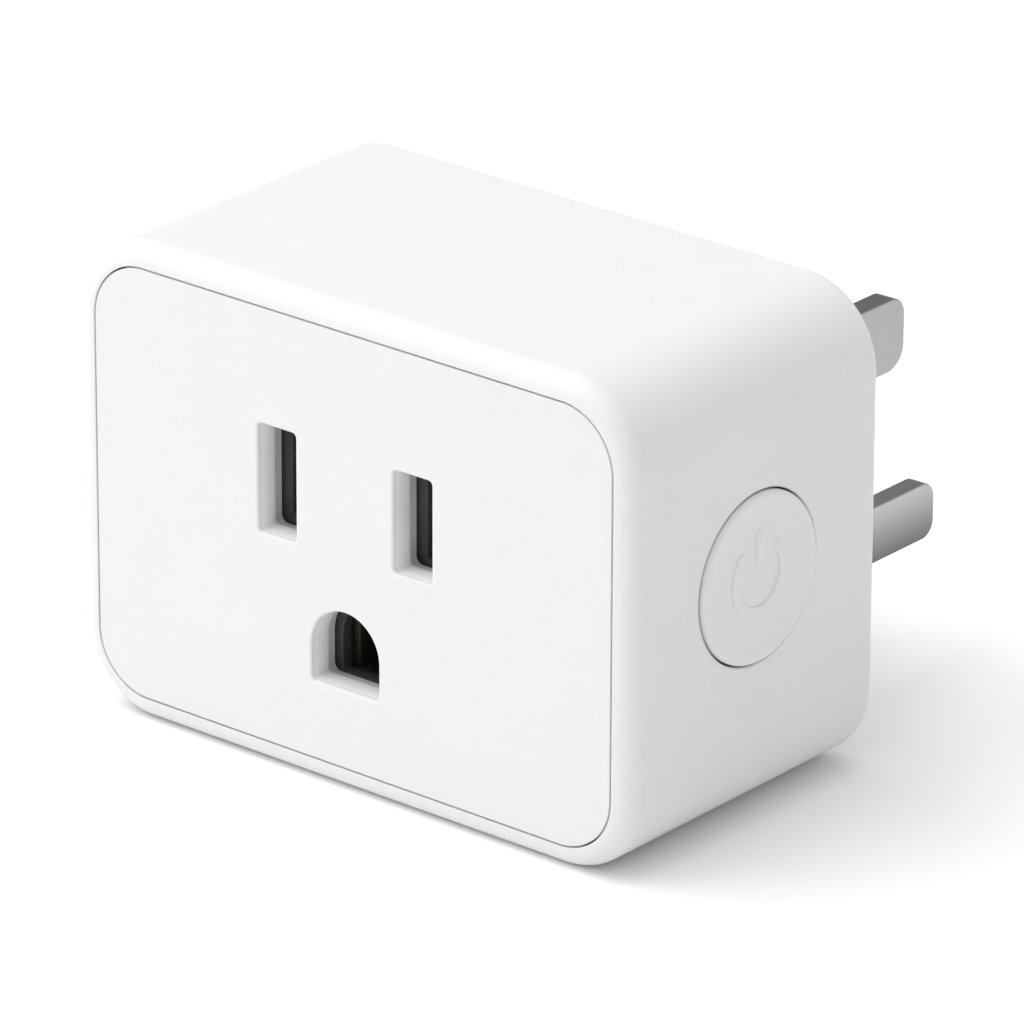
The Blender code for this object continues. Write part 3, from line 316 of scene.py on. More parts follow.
def noise(tree, place, size, detail=3.0, stretch=None):
    """Noise with features of the given size, longer along an axis where stretch is below 1."""
    if stretch:
        place = node(tree, "ShaderNodeMapping", {"Vector": place, "Scale": stretch}).outputs[0]
    inputs = {"Vector": place, "Scale": 1 / size, "Detail": detail, "Roughness": 0.55}
    return node(tree, "ShaderNodeTexNoise", inputs).outputs["Fac"]


def ranged(tree, value, low, high, new_low=0.0, new_high=1.0):
    inputs = {"Value": value, "From Min": low, "From Max": high, "To Min": new_low, "To Max": new_high}
    return node(tree, "ShaderNodeMapRange", inputs, clamp=True).outputs[0]


def mixed(tree, factor, first, second):
    inputs = {0: factor, 6: first, 7: second}
    return node(tree, "ShaderNodeMix", inputs, data_type="RGBA").outputs[2]


def rgb(colour, scale=1.0):
    return (*(min(1.0, channel * scale) for channel in colour), 1.0)


def dot_product(tree, first, second):
    made = node(tree, "ShaderNodeVectorMath", {0: first, 1: second}, operation="DOT_PRODUCT")
    return made.outputs["Value"]


def scaled(tree, vector, factor):
    made = node(tree, "ShaderNodeVectorMath", {0: vector, "Scale": factor}, operation="SCALE")
    return made.outputs[0]


EDGE_FLAT, EDGE_SHARP = 0.995, 0.86  # cosines of a rounded normal's lean
EDGE_REACH = 0.25 * MM  # how far from an edge its wear starts
WEAR_PATCH = 1.4 * MM  # size of the worn patches along an edge


def edge_mask(tree, size):
    """About 1 on convex edges, 0 on flats, from how far a rounded normal leans."""
    soft = node(tree, "ShaderNodeBevel", {"Radius": size}, samples=4).outputs[0]
    hard = node(tree, "ShaderNodeNewGeometry").outputs["Normal"]
    lean = dot_product(tree, soft, hard)
    return ranged(tree, lean, EDGE_FLAT, EDGE_SHARP)


def finish(
    name,
    colour,
    tint=0.02,
    roughness=0.4,
    vary=0.06,
    grain=0.25 * MM,
    bump=0.004 * MM,
    metallic=0.0,
    stretch=None,
    wear=0.0,
    wear_scale=1.25,
    cloud=9.0 * MM,
):
    """A finish whose colour drifts, with fine grain in roughness and bump, and rubbed edges.

    tint is how far the colour drifts and vary how far the roughness does; cloud and grain are the
    sizes of the slow drift and of the fine grain; wear_scale is the tone of a rubbed edge.
    Returns the material, its node tree, its shader, the place socket and its colour socket."""
    made = bpy.data.materials.new(f"look_{name}")
    made.use_nodes = True
    tree = made.node_tree
    shader = tree.nodes["Principled BSDF"]
    place = node(tree, "ShaderNodeTexCoord").outputs["Object"]
    drift = noise(tree, place, cloud, 2.0)
    fine = noise(tree, place, grain, 4.0, stretch)
    tone = mixed(tree, ranged(tree, drift, 0.3, 0.7), rgb(colour, 1 - tint), rgb(colour, 1 + tint))
    speck = ranged(tree, fine, 0.25, 0.75, 1 - tint, 1 + tint)
    tone = scaled(tree, tone, speck)
    rough = ranged(tree, fine, 0.3, 0.7, roughness - vary, roughness + vary)
    if wear:
        patch = ranged(tree, noise(tree, place, WEAR_PATCH, 4.0), 0.42, 0.62)
        mask = math_node(tree, "MULTIPLY", edge_mask(tree, EDGE_REACH), patch)
        mask = math_node(tree, "MULTIPLY", mask, wear)
        tone = mixed(tree, mask, tone, rgb(colour, wear_scale))
    tree.links.new(tone, shader.inputs["Base Color"])
    tree.links.new(rough, shader.inputs["Roughness"])
    shader.inputs["Metallic"].default_value = metallic
    relief = node(tree, "ShaderNodeBump", {"Strength": 1.0, "Distance": bump, "Height": fine})
    tree.links.new(relief.outputs[0], shader.inputs["Normal"])
    return made, tree, shader, place, tone


def plain(*details, **more):
    return finish(*details, **more)[0]


def recolour(tree, shader, tone):
    tree.links.new(tone, shader.inputs["Base Color"])


def add_relief(tree, shader, height, distance):
    """A second bump on top of the finish's own grain."""
    grain = shader.inputs["Normal"].links[0].from_socket
    inputs = {"Distance": distance, "Height": height, "Normal": grain}
    tree.links.new(node(tree, "ShaderNodeBump", inputs).outputs[0], shader.inputs["Normal"])


def coordinate(tree, place, axis):
    return node(tree, "ShaderNodeSeparateXYZ", {0: place}).outputs[axis]


PLASTIC_SKIN = {
    "IOR": 1.46,
    "Specular IOR Level": 0.25,
    "Subsurface Weight": 0.2,
    "Subsurface Radius": (1.0, 0.95, 0.9),
    "Subsurface Scale": 1.0 * MM,
}


def white_plastic(name, colour, roughness, wear=0.35, throat_painted_light=1.0):
    """Fine-textured moulded plastic, a little translucent in its skin. The last argument scales its
    tone on the walls behind the front face: painted light that lightens the walls inside the openings."""
    made, tree, shader, place, tone = finish(
        name, colour, 0.006, roughness, 0.04, 0.16 * MM, 0.0028 * MM, wear=wear, wear_scale=1.06
    )
    if throat_painted_light != 1.0:
        # painted light: the walls behind the front face take the lighter tone
        behind = ranged(tree, coordinate(tree, place, 1), FRONT + MOUTH, FRONT + 2 * MOUTH)
        recolour(tree, shader, mixed(tree, behind, tone, rgb(colour, throat_painted_light)))
    for key, value in PLASTIC_SKIN.items():
        shader.inputs[key].default_value = value
    return made


PAINTED_SHADE_BOTTOM, PAINTED_LIGHT_TOP = 0.36, 1.22  # tone factors at a piece's bottom and its top: painted shade below and a painted highlight above, for the shaded floor its side reflects
DRAWN = 0.03  # the grain's scale along a drawing line
ANISOTROPY = 0.35


def plated(name, colour, roughness, along=1, bump=0.0025 * MM, vary=0.07, tint=0.05, fade=None):
    """Plated metal with drawing lines along one axis and brighter rubbed edges. fade names the
    bottom and the top of a piece that gets painted shade, darker downwards and lighter at the top."""
    stretch = [1.0, 1.0, 1.0]
    stretch[along] = DRAWN
    made, tree, shader, place, tone = finish(
        name,
        colour,
        tint,
        roughness,
        vary,
        0.11 * MM,
        bump,
        1.0,
        tuple(stretch),
        wear=0.6,
        wear_scale=1.3,
        cloud=4.0 * MM,
    )
    shader.inputs["Anisotropic"].default_value = ANISOTROPY
    # painted shade and highlight: the tone runs from dark at the bottom to light at the top
    if fade:
        height = ranged(tree, coordinate(tree, place, 2), *fade, PAINTED_SHADE_BOTTOM, PAINTED_LIGHT_TOP)
        recolour(tree, shader, scaled(tree, tone, height))
    return made


TRACE_PITCH = 2.6 * MM
PAD_PITCH = 2.54 * MM
TIN = (0.72, 0.70, 0.66)
# painted shade: the black that stands for a hole through a pad
HOLE_PAINTED_SHADE = (0.02, 0.02, 0.02)


def circuit_board(name, mask_colour, across):
    """Solder mask over copper traces, with tinned pads whose holes are black dots of painted shade.
    across gives the board's two axes.
    """
    made, tree, shader, place, tone = finish(
        name, mask_colour, 0.08, 0.38, 0.08, 0.2 * MM, 0.002 * MM, cloud=3 * MM
    )
    first, second = (coordinate(tree, place, axis) for axis in across)
    flat = node(tree, "ShaderNodeCombineXYZ", {0: first, 1: second}).outputs[0]
    cells = node(
        tree,
        "ShaderNodeTexVoronoi",
        {"Vector": flat, "Scale": 1 / TRACE_PITCH, "Randomness": 0.75},
        feature="DISTANCE_TO_EDGE",
        voronoi_dimensions="2D",
    ).outputs["Distance"]
    trace = ranged(tree, cells, 0.075, 0.055)
    dots = node(
        tree,
        "ShaderNodeTexVoronoi",
        {"Vector": flat, "Scale": 1 / PAD_PITCH, "Randomness": 0.35},
        distance="EUCLIDEAN",
        voronoi_dimensions="2D",
    ).outputs["Distance"]
    pad = ranged(tree, dots, 0.17, 0.15)
    hole = ranged(tree, dots, 0.075, 0.06)
    tone = mixed(tree, trace, tone, rgb(mask_colour, 1.9))
    tone = mixed(tree, pad, tone, rgb(TIN))
    # painted shade in each pad's hole
    tone = mixed(tree, hole, tone, rgb(HOLE_PAINTED_SHADE))
    recolour(tree, shader, tone)
    tree.links.new(math_node(tree, "SUBTRACT", pad, hole, True), shader.inputs["Metallic"])
    height = math_node(tree, "MAXIMUM", trace, pad)
    add_relief(tree, shader, height, 0.03 * MM)
    return made


def wound_wire(name, colour, pitch, axis, bump):
    """Enamelled wire laid turn by turn along an axis, with painted shade in the grooves between the
    turns.
    """
    made, tree, shader, place, tone = finish(
        name, colour, 0.08, 0.28, 0.06, 0.3 * MM, 0.002 * MM, 0.9, cloud=2 * MM
    )
    along = coordinate(tree, place, axis)
    wave = math_node(tree, "SINE", math_node(tree, "MULTIPLY", along, 2 * math.pi / pitch))
    turns = ranged(tree, wave, -1.0, 0.6)
    # painted shade: the tone darkens to a quarter in the grooves between the turns
    recolour(tree, shader, mixed(tree, turns, rgb(colour, 0.25), tone))
    add_relief(tree, shader, turns, bump)
    return made


PRINT_EDGE = 0.1 * MM  # blur of a printed or cut edge
STRIPE_GREY = (0.55, 0.56, 0.58)
ALUMINIUM = (0.75, 0.75, 0.76)


def capacitor_sleeve(name, colour, top_y, stripe_x, stripe_side):
    """A shrink sleeve with a pale polarity stripe, over a bare aluminium end below top_y."""
    made, tree, shader, place, tone = finish(
        name, colour, 0.05, 0.3, 0.05, 0.5 * MM, 0.006 * MM, cloud=3 * MM
    )
    reach = math_node(tree, "MULTIPLY", coordinate(tree, place, 0), stripe_side)
    edge = stripe_x * stripe_side
    stripe = ranged(tree, reach, edge, edge + PRINT_EDGE)
    tone = mixed(tree, stripe, tone, rgb(STRIPE_GREY))
    end = ranged(tree, coordinate(tree, place, 1), top_y + PRINT_EDGE, top_y)
    recolour(tree, shader, mixed(tree, end, tone, rgb(ALUMINIUM)))
    tree.links.new(end, shader.inputs["Metallic"])
    return made


BAND_HALF = (0.36 * MM, 0.32 * MM)  # half width of a painted ring, outer and inner


def banded_resistor(name, colour, centre, bands):
    """A ceramic body with painted rings along Z."""
    made, tree, shader, place, tone = finish(
        name, colour, 0.05, 0.55, 0.08, 0.15 * MM, 0.008 * MM, cloud=2 * MM
    )
    along = coordinate(tree, place, 2)
    for offset, band in bands:
        away = math_node(tree, "ABSOLUTE", math_node(tree, "SUBTRACT", along, centre + offset))
        tone = mixed(tree, ranged(tree, away, *BAND_HALF), tone, rgb(band))
    recolour(tree, shader, tone)
    return made


WHITE = (0.715, 0.722, 0.735)
BODY_WHITE = white_plastic("body_white", WHITE, 0.36)
# the face plate's walls inside its openings are painted 1.3 times lighter: painted light
FACE_WHITE = white_plastic("face_white", WHITE, 0.36, 0.2, 1.3)
CAP_WHITE = white_plastic("cap_white", WHITE, 0.33, 0.2)
REAR_WHITE = white_plastic("rear_white", (0.70, 0.708, 0.72), 0.42)
PRONG_FINISH = ((0.41, 0.408, 0.405), 0.3, 1, 0.0004 * MM, 0.03, 0.02)
NICKEL = plated("nickel_pin", *PRONG_FINISH)
# the blades' nickel carries painted shade, darker towards the bottom, for the shaded floor they
# reflect
BLADE_NICKEL_PAINTED_SHADE = plated(
    "nickel_blade_painted_shade", *PRONG_FINISH, fade=(NEUTRAL_LOW.z + SHOULDER, NEUTRAL_HIGH.z - SHOULDER)
)
SCREW_STEEL = plated("screw_steel", (0.50, 0.50, 0.51), 0.32, 1)
CONTACT_BRASS = plated("contact_brass", (0.78, 0.60, 0.30), 0.3, 2)
SPRING_BRASS = plated("spring_brass", (0.74, 0.52, 0.27), 0.26, 1)
# painted shade: brass darkened almost to black, so that the ground hole's contact reads as shadow
BRASS_PAINTED_SHADE = plated("ground_brass_painted_shade", (0.13, 0.11, 0.08), 0.55, 1)
IRON = plated("relay_iron", (0.45, 0.45, 0.46), 0.36, 1)
TIN_STEEL = plated("shield_tin", (0.62, 0.62, 0.62), 0.3, 0)
PLAIN_FINISHES = {  # colour, tint, roughness, vary, grain, bump, then wear and its tone
    "black_nylon": ((0.055, 0.055, 0.057), 0.12, 0.5, 0.08, 0.2, 0.01, 0.5, 2.4),
    "black_epoxy": ((0.022, 0.022, 0.024), 0.15, 0.42, 0.08, 0.12, 0.008, 0.4, 2.5),
    "cream_bobbin": ((0.72, 0.66, 0.53), 0.04, 0.5, 0.06, 0.3, 0.01, 0.4, 1.2),
    "ferrite_core": ((0.085, 0.083, 0.085), 0.3, 0.62, 0.1, 0.1, 0.02, 0.7, 2.6),
    "relay_cover_blue": ((0.045, 0.15, 0.42), 0.05, 0.34, 0.06, 0.2, 0.006, 0.5, 1.6),
    "relay_base_blue": ((0.04, 0.12, 0.34), 0.06, 0.45, 0.06, 0.2, 0.008, 0.4, 1.6),
    "varistor_epoxy": ((0.09, 0.22, 0.55), 0.09, 0.36, 0.08, 0.6, 0.03),
    "inductor_sleeve": ((0.03, 0.03, 0.032), 0.15, 0.4, 0.08, 0.4, 0.01, 0.5, 2.2),
    "cable_jacket": ((0.60, 0.60, 0.58), 0.04, 0.45, 0.06, 0.3, 0.01),
    "led_lens": ((0.86, 0.88, 0.80), 0.02, 0.18, 0.04, 0.3, 0.004),
}


def from_table(name):
    """The plain finish of that name; its grain and bump are given in millimetres."""
    colour, tint, roughness, vary, grain, bump, *edges = PLAIN_FINISHES[name]
    wear, wear_scale = edges or (0.0, 1.25)
    return plain(
        name, colour, tint, roughness, vary, grain * MM, bump * MM, wear=wear, wear_scale=wear_scale
    )


BLACK_NYLON = from_table("black_nylon")
BLACK_EPOXY = from_table("black_epoxy")
CREAM = from_table("cream_bobbin")
FERRITE = from_table("ferrite_core")
RELAY_BLUE = from_table("relay_cover_blue")
RELAY_BASE = from_table("relay_base_blue")
VARISTOR = from_table("varistor_epoxy")
INDUCTOR = from_table("inductor_sleeve")
CABLE = from_table("cable_jacket")
LENS = from_table("led_lens")
GREEN_BOARD = circuit_board("power_board", (0.02, 0.17, 0.07), (0, 2))
SIDE_BOARD = circuit_board("button_board", (0.02, 0.17, 0.07), (1, 2))
RADIO_BOARD = circuit_board("radio_board", (0.02, 0.05, 0.13), (0, 1))
COIL = wound_wire("relay_coil", (0.62, 0.30, 0.13), 0.16 * MM, 1, 0.05 * MM)
CHOKE_WIRE = wound_wire("choke_wire", (0.70, 0.34, 0.15), 0.34 * MM, 1, 0.10 * MM)

# ---------------------------------------------------------------- housing and face plate

body_outline = rounded(OUTER_X, OUTER_Z, CORNER_RADIUS)
COVER_REAR = COVER_HIGH.y
RECESS_FLOOR = COVER_REAR + RECESS_GAP
CAVITY_FRONT = RECESS_FLOOR + FRONT_WALL
COVER_INSET = OUTER_X - COVER_HIGH.x
RECESS_INSET = COVER_INSET - SEAM
NEUTRAL_X = OUTLET_X - BLADE_SPACING / 2
LINE_X = OUTLET_X + BLADE_SPACING / 2
GROUND_FLAT = GROUND_HOLE_Z - (GROUND_HOLE_HEIGHT - GROUND_HOLE_WIDTH / 2)
OPENINGS = [
    rounded(SLOT_WIDTH / 2, NEUTRAL_SLOT_HEIGHT / 2, SLOT_RADIUS, (NEUTRAL_X, SLOTS_Z), 8),
    rounded(SLOT_WIDTH / 2, LINE_SLOT_HEIGHT / 2, SLOT_RADIUS, (LINE_X, SLOTS_Z), 8),
    arch(GROUND_HOLE_WIDTH, GROUND_HOLE_HEIGHT, GROUND_HOLE_CORNER, OUTLET_X, GROUND_FLAT),
]


def round_edge(grow, depth, size, turn_from, turn_to, steps=5):
    """An edge's rounding as (grow, depth) steps about its own centre."""
    return arc((grow, depth), size, turn_from, turn_to, steps)


PILOT_CHAMFER = 0.25 * MM
COLUMN_EDGE = 0.1 * MM
COLUMN_STEPS = 40
RIM = 0.07 * MM  # rounding of the shell's sharp rims
RIB = 0.6 * MM  # wall beside the button board
RIB_HALF = 3.5 * MM
RIB_REACH = 0.8 * MM  # how far the rib overlaps the board's front edge
GROOVE_REACH = 1.8 * MM  # depth of the groove the board stands in, from the same edge
BUTTON_MOUTH = 0.16 * MM


def column(bm, x, z, radius, rear):
    """A screw boss: a closed round column with a blind pilot hole."""
    path = [
        (radius, CAVITY_FRONT - OVERLAP),
        (radius, rear - COLUMN_EDGE),
        (radius - COLUMN_EDGE, rear),
        (PILOT_RADIUS + PILOT_CHAMFER, rear),
        (PILOT_RADIUS, rear - PILOT_CHAMFER),
        (PILOT_RADIUS, rear - PILOT_DEPTH),
    ]
    closed(bm, circle((x, z), COLUMN_STEPS), path)


def screw_places(names):
    """The (x, z) of each screw's axis."""
    for name in names:
        at = middle(*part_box(name))
        yield at.x, at.z


def housing():
    """One-piece shell with a recessed front wall, a ledge for the rear cover, bosses and posts."""
    ledge_inset = OUTER_X - REAR_HIGH.x - RECESS_GAP
    path = [(-RECESS_INSET, RECESS_FLOOR)]
    path += round_edge(-RECESS_INSET + RIM, FRONT + RIM, RIM, 180, 270)
    path += round_edge(-FRONT_FILLET, FRONT + FRONT_FILLET, FRONT_FILLET, -90, 0, FILLET_STEPS)
    path += round_edge(-REAR_FILLET, REAR - REAR_FILLET, REAR_FILLET, 0, 90, 8)
    path += round_edge(-ledge_inset + RIM, REAR - RIM, RIM, 90, 180, 3)
    path += [(-ledge_inset, -LEDGE_DEPTH), (-WALL, -LEDGE_DEPTH), (-WALL, CAVITY_FRONT)]
    bm = bmesh.new()
    recess, cavity = loft(bm, body_outline, path)
    front_loops, rear_loops = [recess], [cavity]
    for opening in OPENINGS:
        near, far = loft(bm, opening, [(SLACK, RECESS_FLOOR), (SLACK, CAVITY_FRONT)])
        front_loops.append(near)
        rear_loops.append(far)
    cap(bm, *front_loops)
    cap(bm, *rear_loops)
    shell = link("housing_shell", bm)

    bm = bmesh.new()
    for x, z in screw_places(CASE_SCREWS):
        column(bm, x, z, BOSS_RADIUS, -LEDGE_DEPTH - SLACK)
    for x, z in screw_places(BOARD_SCREWS):
        column(bm, x, z, POST_RADIUS, BOARD_LOW.y - SLACK)
    combine(shell, link("columns", bm), "UNION")

    low_x, high_x, end = BUTTON_BOARD_LOW.x, BUTTON_BOARD_HIGH.x, BUTTON_BOARD_LOW.y
    low = (low_x - RIB, CAVITY_FRONT - OVERLAP, BUTTON.z - RIB_HALF)
    high = (high_x + RIB, end + RIB_REACH, BUTTON.z + RIB_HALF)
    combine(shell, block("rib", low, high), "UNION")
    low = (low_x - SLACK, end - OVERLAP, BUTTON.z - 2 * RIB_HALF)
    high = (high_x + SLACK, end + GROOVE_REACH, BUTTON.z + 2 * RIB_HALF)
    combine(shell, block("groove", low, high), "DIFFERENCE")

    radius = BUTTON_RADIUS + BUTTON_CLEARANCE
    wide = radius + BUTTON_MOUTH
    path = [(radius, OUTER_X - 2 * WALL)]
    path += round_edge(wide, OUTER_X - BUTTON_MOUTH, BUTTON_MOUTH, 180, 90)
    path += [(wide, OUTER_X + WALL)]
    bm = bmesh.new()
    closed(bm, circle((BUTTON.y, BUTTON.z), BUTTON_STEPS), path, side_place)
    return combine(shell, link("button_hole", bm), "DIFFERENCE")


PLATE_EDGE = 0.08 * MM


def face_plate():
    """The inset front plate with the outlet's three openings, all edges rounded."""
    plate_outline = rounded(COVER_HIGH.x, COVER_HIGH.z, CORNER_RADIUS - COVER_INSET)
    path = [(-PLATE_EDGE, COVER_REAR), (0, COVER_REAR - PLATE_EDGE)]
    path += round_edge(-PLATE_EDGE, FRONT + PLATE_EDGE, PLATE_EDGE, 0, -90)
    bm = bmesh.new()
    rear, front = loft(bm, plate_outline, path)
    front_loops, rear_loops = [front], [rear]
    path = [(MOUTH_SPREAD - MOUTH, COVER_REAR)]
    path += round_edge(MOUTH_SPREAD, FRONT + MOUTH, MOUTH, 180, 270, 6)
    for opening in OPENINGS:
        far, near = loft(bm, opening, path)
        front_loops.append(near)
        rear_loops.append(far)
    cap(bm, *front_loops)
    cap(bm, *rear_loops)
    return link("face_plate", bm)


piece(housing(), BODY_WHITE, "case", "white_plastic", "housing")
piece(face_plate(), FACE_WHITE, "case", "white_plastic", "front_cover")

# ---------------------------------------------------------------- prongs and rear cover

PRONG_EDGE = 0.12 * MM
TIP_RADIUS = 1.3 * MM
SHOULDER_REAR = -2.15 * MM
SHOULDER_FRONT = -3.15 * MM
TAIL_WIDTH = 2.4 * MM
TAIL_THICKNESS = 0.8 * MM
TAIL_RISE = 2.05 * MM
PIN_UPPER_TIP = 1.5 * MM
PIN_LOWER_TIP = 1.9 * MM
PIN_COLLAR_X = 0.8 * MM
PIN_COLLAR_Z = 0.7 * MM
PIN_TAIL_Z = 5.95 * MM
PIN_TAIL_REAR = SHOULDER_REAR - 0.5 * MM  # inside the collar
TIP_STEPS = 14
COVER_THICKNESS = 2.0 * MM
COVER_EDGE = 0.3 * MM
COVER_MOUTH = 0.2 * MM  # rounding of the rear cover's holes
PRONG_HOLE_CORNER = 0.2 * MM
SEAT_RADIUS = 2.25 * MM
SEAT_DEPTH = 1.3 * MM
SHANK_RADIUS = 1.25 * MM
PEG_RADIUS = 1.0 * MM
PEG_EDGE = 0.2 * MM
PEGS = ((10.2 * MM, -6.0 * MM), (17.2 * MM, 7.4 * MM), (3.2 * MM, 7.4 * MM))  # x, z


def flat_prong(name, outline, low_x, high_x):
    """A prong cut from plate: an outline in YZ with rounded edges on both faces."""
    path = round_edge(-PRONG_EDGE, low_x + PRONG_EDGE, PRONG_EDGE, -90, 0)
    path += round_edge(-PRONG_EDGE, high_x - PRONG_EDGE, PRONG_EDGE, 0, 90)
    bm = bmesh.new()
    closed(bm, grown(outline), path, side_place)
    return link(name, bm)


def tip_outline(tip, centre, half, upper, lower):
    """The free end of a prong, from its top edge round to its bottom edge."""
    points = arc((tip - upper, centre + half - upper), upper, 90, 0, TIP_STEPS)
    return points + arc((tip - lower, centre - half + lower), lower, 0, -90, TIP_STEPS)


def blade(name, low, high):
    """A flat blade with rounded edges and tip, a shoulder and a solder tail."""
    centre, half = (low.z + high.z) / 2, (high.z - low.z) / 2 - SHOULDER
    tail = centre + TAIL_RISE
    wide = half + SHOULDER
    points = tip_outline(high.y, centre, half, TIP_RADIUS, TIP_RADIUS)
    points += [
        (SHOULDER_REAR, centre - half),
        (SHOULDER_REAR, centre - wide),
        (SHOULDER_FRONT, centre - wide),
        (SHOULDER_FRONT, tail - TAIL_WIDTH / 2),
        (low.y, tail - TAIL_WIDTH / 2),
        (low.y, tail + TAIL_WIDTH / 2),
        (SHOULDER_FRONT, tail + TAIL_WIDTH / 2),
        (SHOULDER_FRONT, centre + wide),
        (SHOULDER_REAR, centre + wide),
        (SHOULDER_REAR, centre + half),
    ]
    return flat_prong(name, points, low.x, high.x)


def ground_pin():
    """The thicker, longer flat pin, with a collar behind the rear cover and a tail."""
    at = middle(PIN_LOW, PIN_HIGH)
    half = (PIN_HIGH.z - PIN_LOW.z) / 2 - PIN_COLLAR_Z
    points = tip_outline(PIN_HIGH.y, at.z, half, PIN_UPPER_TIP, PIN_LOWER_TIP)
    points += [(SHOULDER_FRONT, at.z - half), (SHOULDER_FRONT, at.z + half)]
    pin = flat_prong("ground_prong", points, PIN_LOW.x + PIN_COLLAR_X, PIN_HIGH.x - PIN_COLLAR_X)
    low = (PIN_LOW.x, SHOULDER_FRONT, PIN_LOW.z)
    combine(pin, block("collar", low, (PIN_HIGH.x, SHOULDER_REAR, PIN_HIGH.z)), "UNION")
    low = (at.x - TAIL_WIDTH / 2, PIN_LOW.y, PIN_TAIL_Z - TAIL_THICKNESS / 2)
    high = (at.x + TAIL_WIDTH / 2, PIN_TAIL_REAR, PIN_TAIL_Z + TAIL_THICKNESS / 2)
    return combine(pin, block("tail", low, high), "UNION")


def rear_cover():
    """Back plate: rounded rim, prong holes, counterbored screw seats, retainer pegs."""
    front, rear = REAR_HIGH.y - COVER_THICKNESS, REAR_HIGH.y
    plate = rounded(REAR_HIGH.x, REAR_HIGH.z, CORNER_RADIUS - (OUTER_X - REAR_HIGH.x))
    path = [(-SLACK, front), (0, front + SLACK)]
    path += round_edge(-COVER_EDGE, rear - COVER_EDGE, COVER_EDGE, 0, 90, 6)
    bm = bmesh.new()
    near, far = loft(bm, plate, path)
    front_loops, rear_loops = [near], [far]
    holes = []
    for low, high, side, ends in (
        (NEUTRAL_LOW, NEUTRAL_HIGH, 0, SHOULDER),
        (LINE_LOW, LINE_HIGH, 0, SHOULDER),
        (PIN_LOW, PIN_HIGH, PIN_COLLAR_X, PIN_COLLAR_Z),
    ):
        at = middle(low, high)
        half_x, half_z = (high.x - low.x) / 2 - side, (high.z - low.z) / 2 - ends
        holes.append(rounded(half_x, half_z, PRONG_HOLE_CORNER, (at.x, at.z), 6))
    path = [(SLACK, front)]
    path += round_edge(SLACK + COVER_MOUTH, rear - COVER_MOUTH, COVER_MOUTH, 180, 90, 4)
    for hole in holes:
        near, far = loft(bm, hole, path)
        front_loops.append(near)
        rear_loops.append(far)
    seat = rear - SEAT_DEPTH
    path = [(SHANK_RADIUS, front), (SHANK_RADIUS, seat), (SEAT_RADIUS, seat)]
    path += round_edge(SEAT_RADIUS + COVER_MOUTH, rear - COVER_MOUTH, COVER_MOUTH, 180, 90, 4)
    for place in screw_places(CASE_SCREWS):
        near, far = loft(bm, circle(place, 48), path)
        front_loops.append(near)
        rear_loops.append(far)
    end = REAR_LOW.y
    path = [(PEG_RADIUS, front), (PEG_RADIUS, end + PEG_EDGE), (PEG_RADIUS - PEG_EDGE, end)]
    for place in PEGS:
        near, far = loft(bm, circle(place, 32), path)
        front_loops.append(near)
        cap(bm, far)
    cap(bm, *front_loops)
    cap(bm, *rear_loops)
    return link("back_plate", bm)


neutral_prong = blade("neutral_prong", NEUTRAL_LOW, NEUTRAL_HIGH)
line_prong = blade("line_prong", LINE_LOW, LINE_HIGH)
piece(neutral_prong, BLADE_NICKEL_PAINTED_SHADE, "case", "nickel_plate", "neutral_blade")
piece(line_prong, BLADE_NICKEL_PAINTED_SHADE, "case", "nickel_plate", "line_blade")
piece(ground_pin(), NICKEL, "case", "nickel_plate", "ground_pin")
piece(rear_cover(), REAR_WHITE, "case", "white_plastic", "rear_cover")

# ---------------------------------------------------------------- screws

HEAD_THICKNESS = 0.95 * MM
HEAD_DOME = 0.4 * MM
HEAD_FLAT = 0.35  # flat part of a head, of its radius
HEAD_STEPS = 8
THREAD_CREST = 1.0 * MM
THREAD_ROOT = 0.72 * MM
THREAD_PITCH = 0.8 * MM
THREAD_STEPS = 10  # rings in one turn of the thread
THREAD_GAP = 0.2 * MM  # plain neck below the head
POINT_LENGTH = 1.2 * MM
POINT_RADIUS = 0.2 * MM
SCREW_STEPS = 36
CROSS_ARM = 0.62  # reach of the cross recess, of the head's radius
CROSS_HALF = 0.24 * MM
CROSS_DEPTH = 0.55 * MM
CROSS_CORNER = 0.1 * MM
CROSS_TOP = 1.0 * MM  # how far its cutter reaches above the head
CROSS_TAPER = (-0.08 * MM, 0.04 * MM)  # the cutter's grow at its bottom and its top


def thread_ring(at, depth, fade):
    """One ring of a rolled thread; fade lowers the crest towards the thread's ends."""
    ring = []
    for n in range(SCREW_STEPS):
        turn = 2 * math.pi * n / SCREW_STEPS
        phase = (depth / THREAD_PITCH + n / SCREW_STEPS) % 1.0
        crest = max(0.0, 1 - abs(phase - 0.5) * 4) * fade
        radius = THREAD_ROOT + (THREAD_CREST - THREAD_ROOT) * crest
        ring.append((at.x + radius * math.cos(turn), depth, at.z + radius * math.sin(turn)))
    return ring


